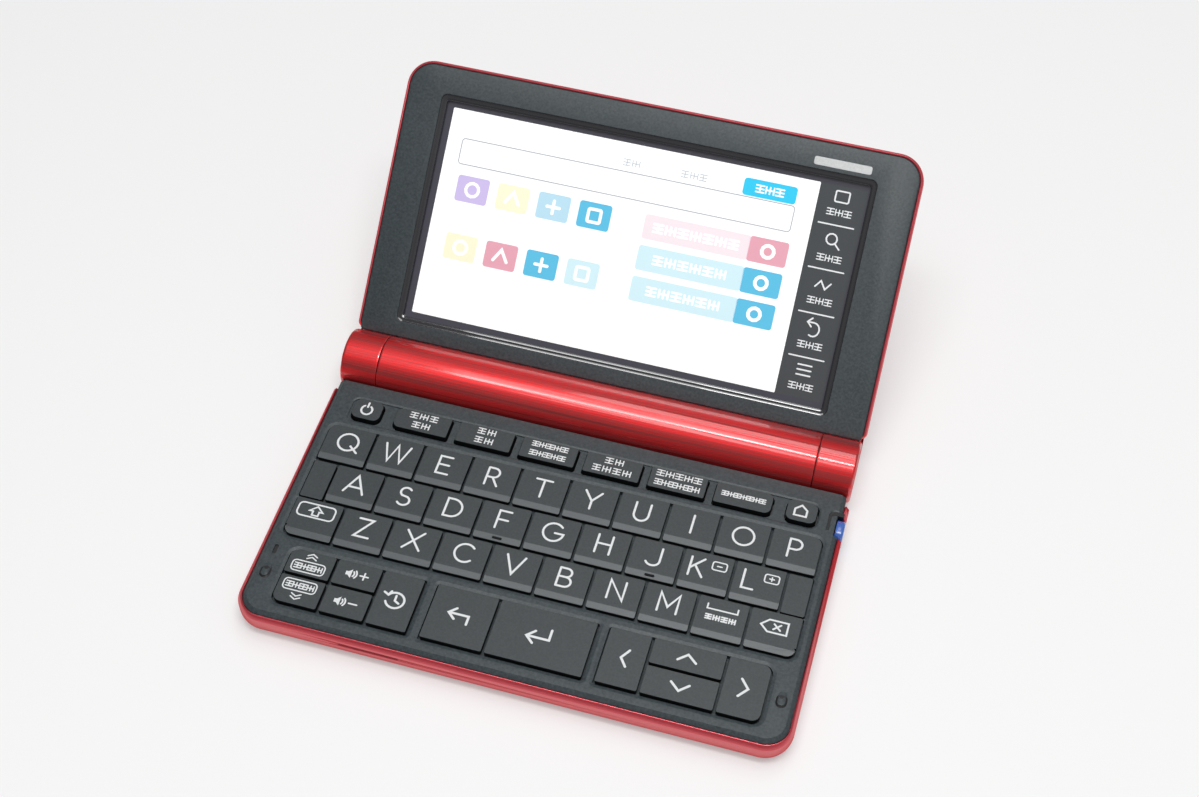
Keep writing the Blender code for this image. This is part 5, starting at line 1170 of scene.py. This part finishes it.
# Plain badge. A small bare plate of brushed aluminium, stamped flat with eased edges.
# It is let into the frame at its upper right.
aluminium = moulded("brushed plate", (0.42, 0.43, 0.43), (0.5, 0.51, 0.51), 2500.0, 0.35, 0.003, Metallic=1.0)
plate_plan = rounded(43.7, 59.7, 79.9, 82.2, [0.6] * 4)
plate_shape = lofted(standing(plate_plan, BEZEL_Z - 0.1, BEZEL_Z + 0.06))
plate = make_part("plain_plate", plate_shape, aluminium, LID_PLACE)
ease_edges(plate, 0.04)
settle(plate, "lid", "module_metal")

# Table, lamps and camera. A plain white table that keeps the object's shadow and looks white to the lens and
# in mirrors. A large soft lamp and two narrow ones hang over the object and a weak one behind it, in a dim
# sky that is a little brighter above and to the right.
PAPER_SHARE = 0.32
table_top = bpy.data.meshes.new("table_top")
table_top.from_pydata([(-3, -3, 0), (3, -3, 0), (3, 3, 0), (-3, 3, 0)], [], [(0, 1, 2, 3)])
table = bpy.data.objects.new("table_top", table_top)
bare_scene.collection.objects.link(table)
table_white, table_shader = new_finish("white table", Roughness=0.7)
table_shader.inputs["Base Color"].default_value = (0.9, 0.9, 0.9, 1.0)
tree = table_white.node_tree
paper = tree.nodes.new("ShaderNodeEmission")
paper.inputs["Color"].default_value = (1.0, 1.0, 1.0, 1.0)
rays = tree.nodes.new("ShaderNodeLightPath")
seen = maths(tree, "ADD")
mirrored = maths(tree, "ADD", clamp=True)
keep = maths(tree, "MULTIPLY", PAPER_SHARE)
blend = tree.nodes.new("ShaderNodeMixShader")
wire(tree, ((rays, "Is Camera Ray"), (seen, 0)), ((rays, "Is Glossy Ray"), (seen, 1)),
     ((seen, "Value"), (mirrored, 0)), ((rays, "Is Transmission Ray"), (mirrored, 1)),
     ((mirrored, "Value"), (keep, 0)), ((keep, "Value"), (blend, 0)), ((table_shader, "BSDF"), (blend, 1)),
     ((paper, "Emission"), (blend, 2)), ((blend, "Shader"), (tree.nodes["Material Output"], "Surface")))
table_top.materials.append(table_white)

world = bpy.data.worlds.new("studio")
world.use_nodes = True
tree = world.node_tree
sky_light = tree.nodes["Background"]
sky_light.inputs["Color"].default_value = (1.0, 1.0, 1.0, 1.0)
where = tree.nodes.new("ShaderNodeTexCoord")
parts = tree.nodes.new("ShaderNodeSeparateXYZ")
rise = tree.nodes.new("ShaderNodeMapRange")
for label, value in (("From Min", 0.0), ("From Max", 1.0), ("To Min", 0.17), ("To Max", 0.38)):
    rise.inputs[label].default_value = value
brighter_right = maths(tree, "MULTIPLY_ADD", 0.12)
wire(tree, ((where, "Generated"), (parts, "Vector")), ((parts, "Z"), (rise, "Value")),
     ((parts, "X"), (brighter_right, 0)), ((rise, "Result"), (brighter_right, 2)),
     ((brighter_right, "Value"), (sky_light, "Strength")))
bare_scene.world = world


def hang_lamp(name, at, towards, size, power):
    """A rectangular lamp that faces a point."""
    lamp = bpy.data.lights.new(name, "AREA")
    lamp.shape = "RECTANGLE"
    lamp.size, lamp.size_y = size
    lamp.energy = power
    holder = bpy.data.objects.new(name, lamp)
    holder.location = at
    aim = Vector(towards) - Vector(at)
    holder.rotation_euler = aim.to_track_quat("-Z", "Y").to_euler()
    bare_scene.collection.objects.link(holder)


hang_lamp("soft_lamp", (0.05, -0.13, 1.12), (0.05, -0.1299, 0.0), (0.74, 0.82), 4.9)
hang_lamp("tube_lamp", (0.06, -0.2, 1.1), (0.06, -0.1999, 0.0), (0.76, 0.17), 1.9)
hang_lamp("right_tube", (0.17, -0.2, 1.09), (0.17, -0.1999, 0.0), (0.54, 0.15), 2.0)
hang_lamp("back_lamp", (0.0, 0.5, 1.1), (0.0, 0.5001, 0.0), (0.44, 0.36), 1.1)

lens = bpy.data.cameras.new("camera")
lens.lens = 55.2292
lens.sensor_width = 36.0
lens.clip_start = 0.01
camera = bpy.data.objects.new("camera", lens)
camera.matrix_world = Matrix(((0.961580479, -0.219300210, 0.165137521, 0.0845503),
                              (0.274521821, 0.766244399, -0.580953776, -0.2866152),
                              (0.000867584783, 0.603967663, 0.797008349, 0.4204829),
                              (0.0, 0.0, 0.0, 1.0)))
bare_scene.collection.objects.link(camera)
bare_scene.camera = camera
bare_scene.view_settings.view_transform = "Standard"
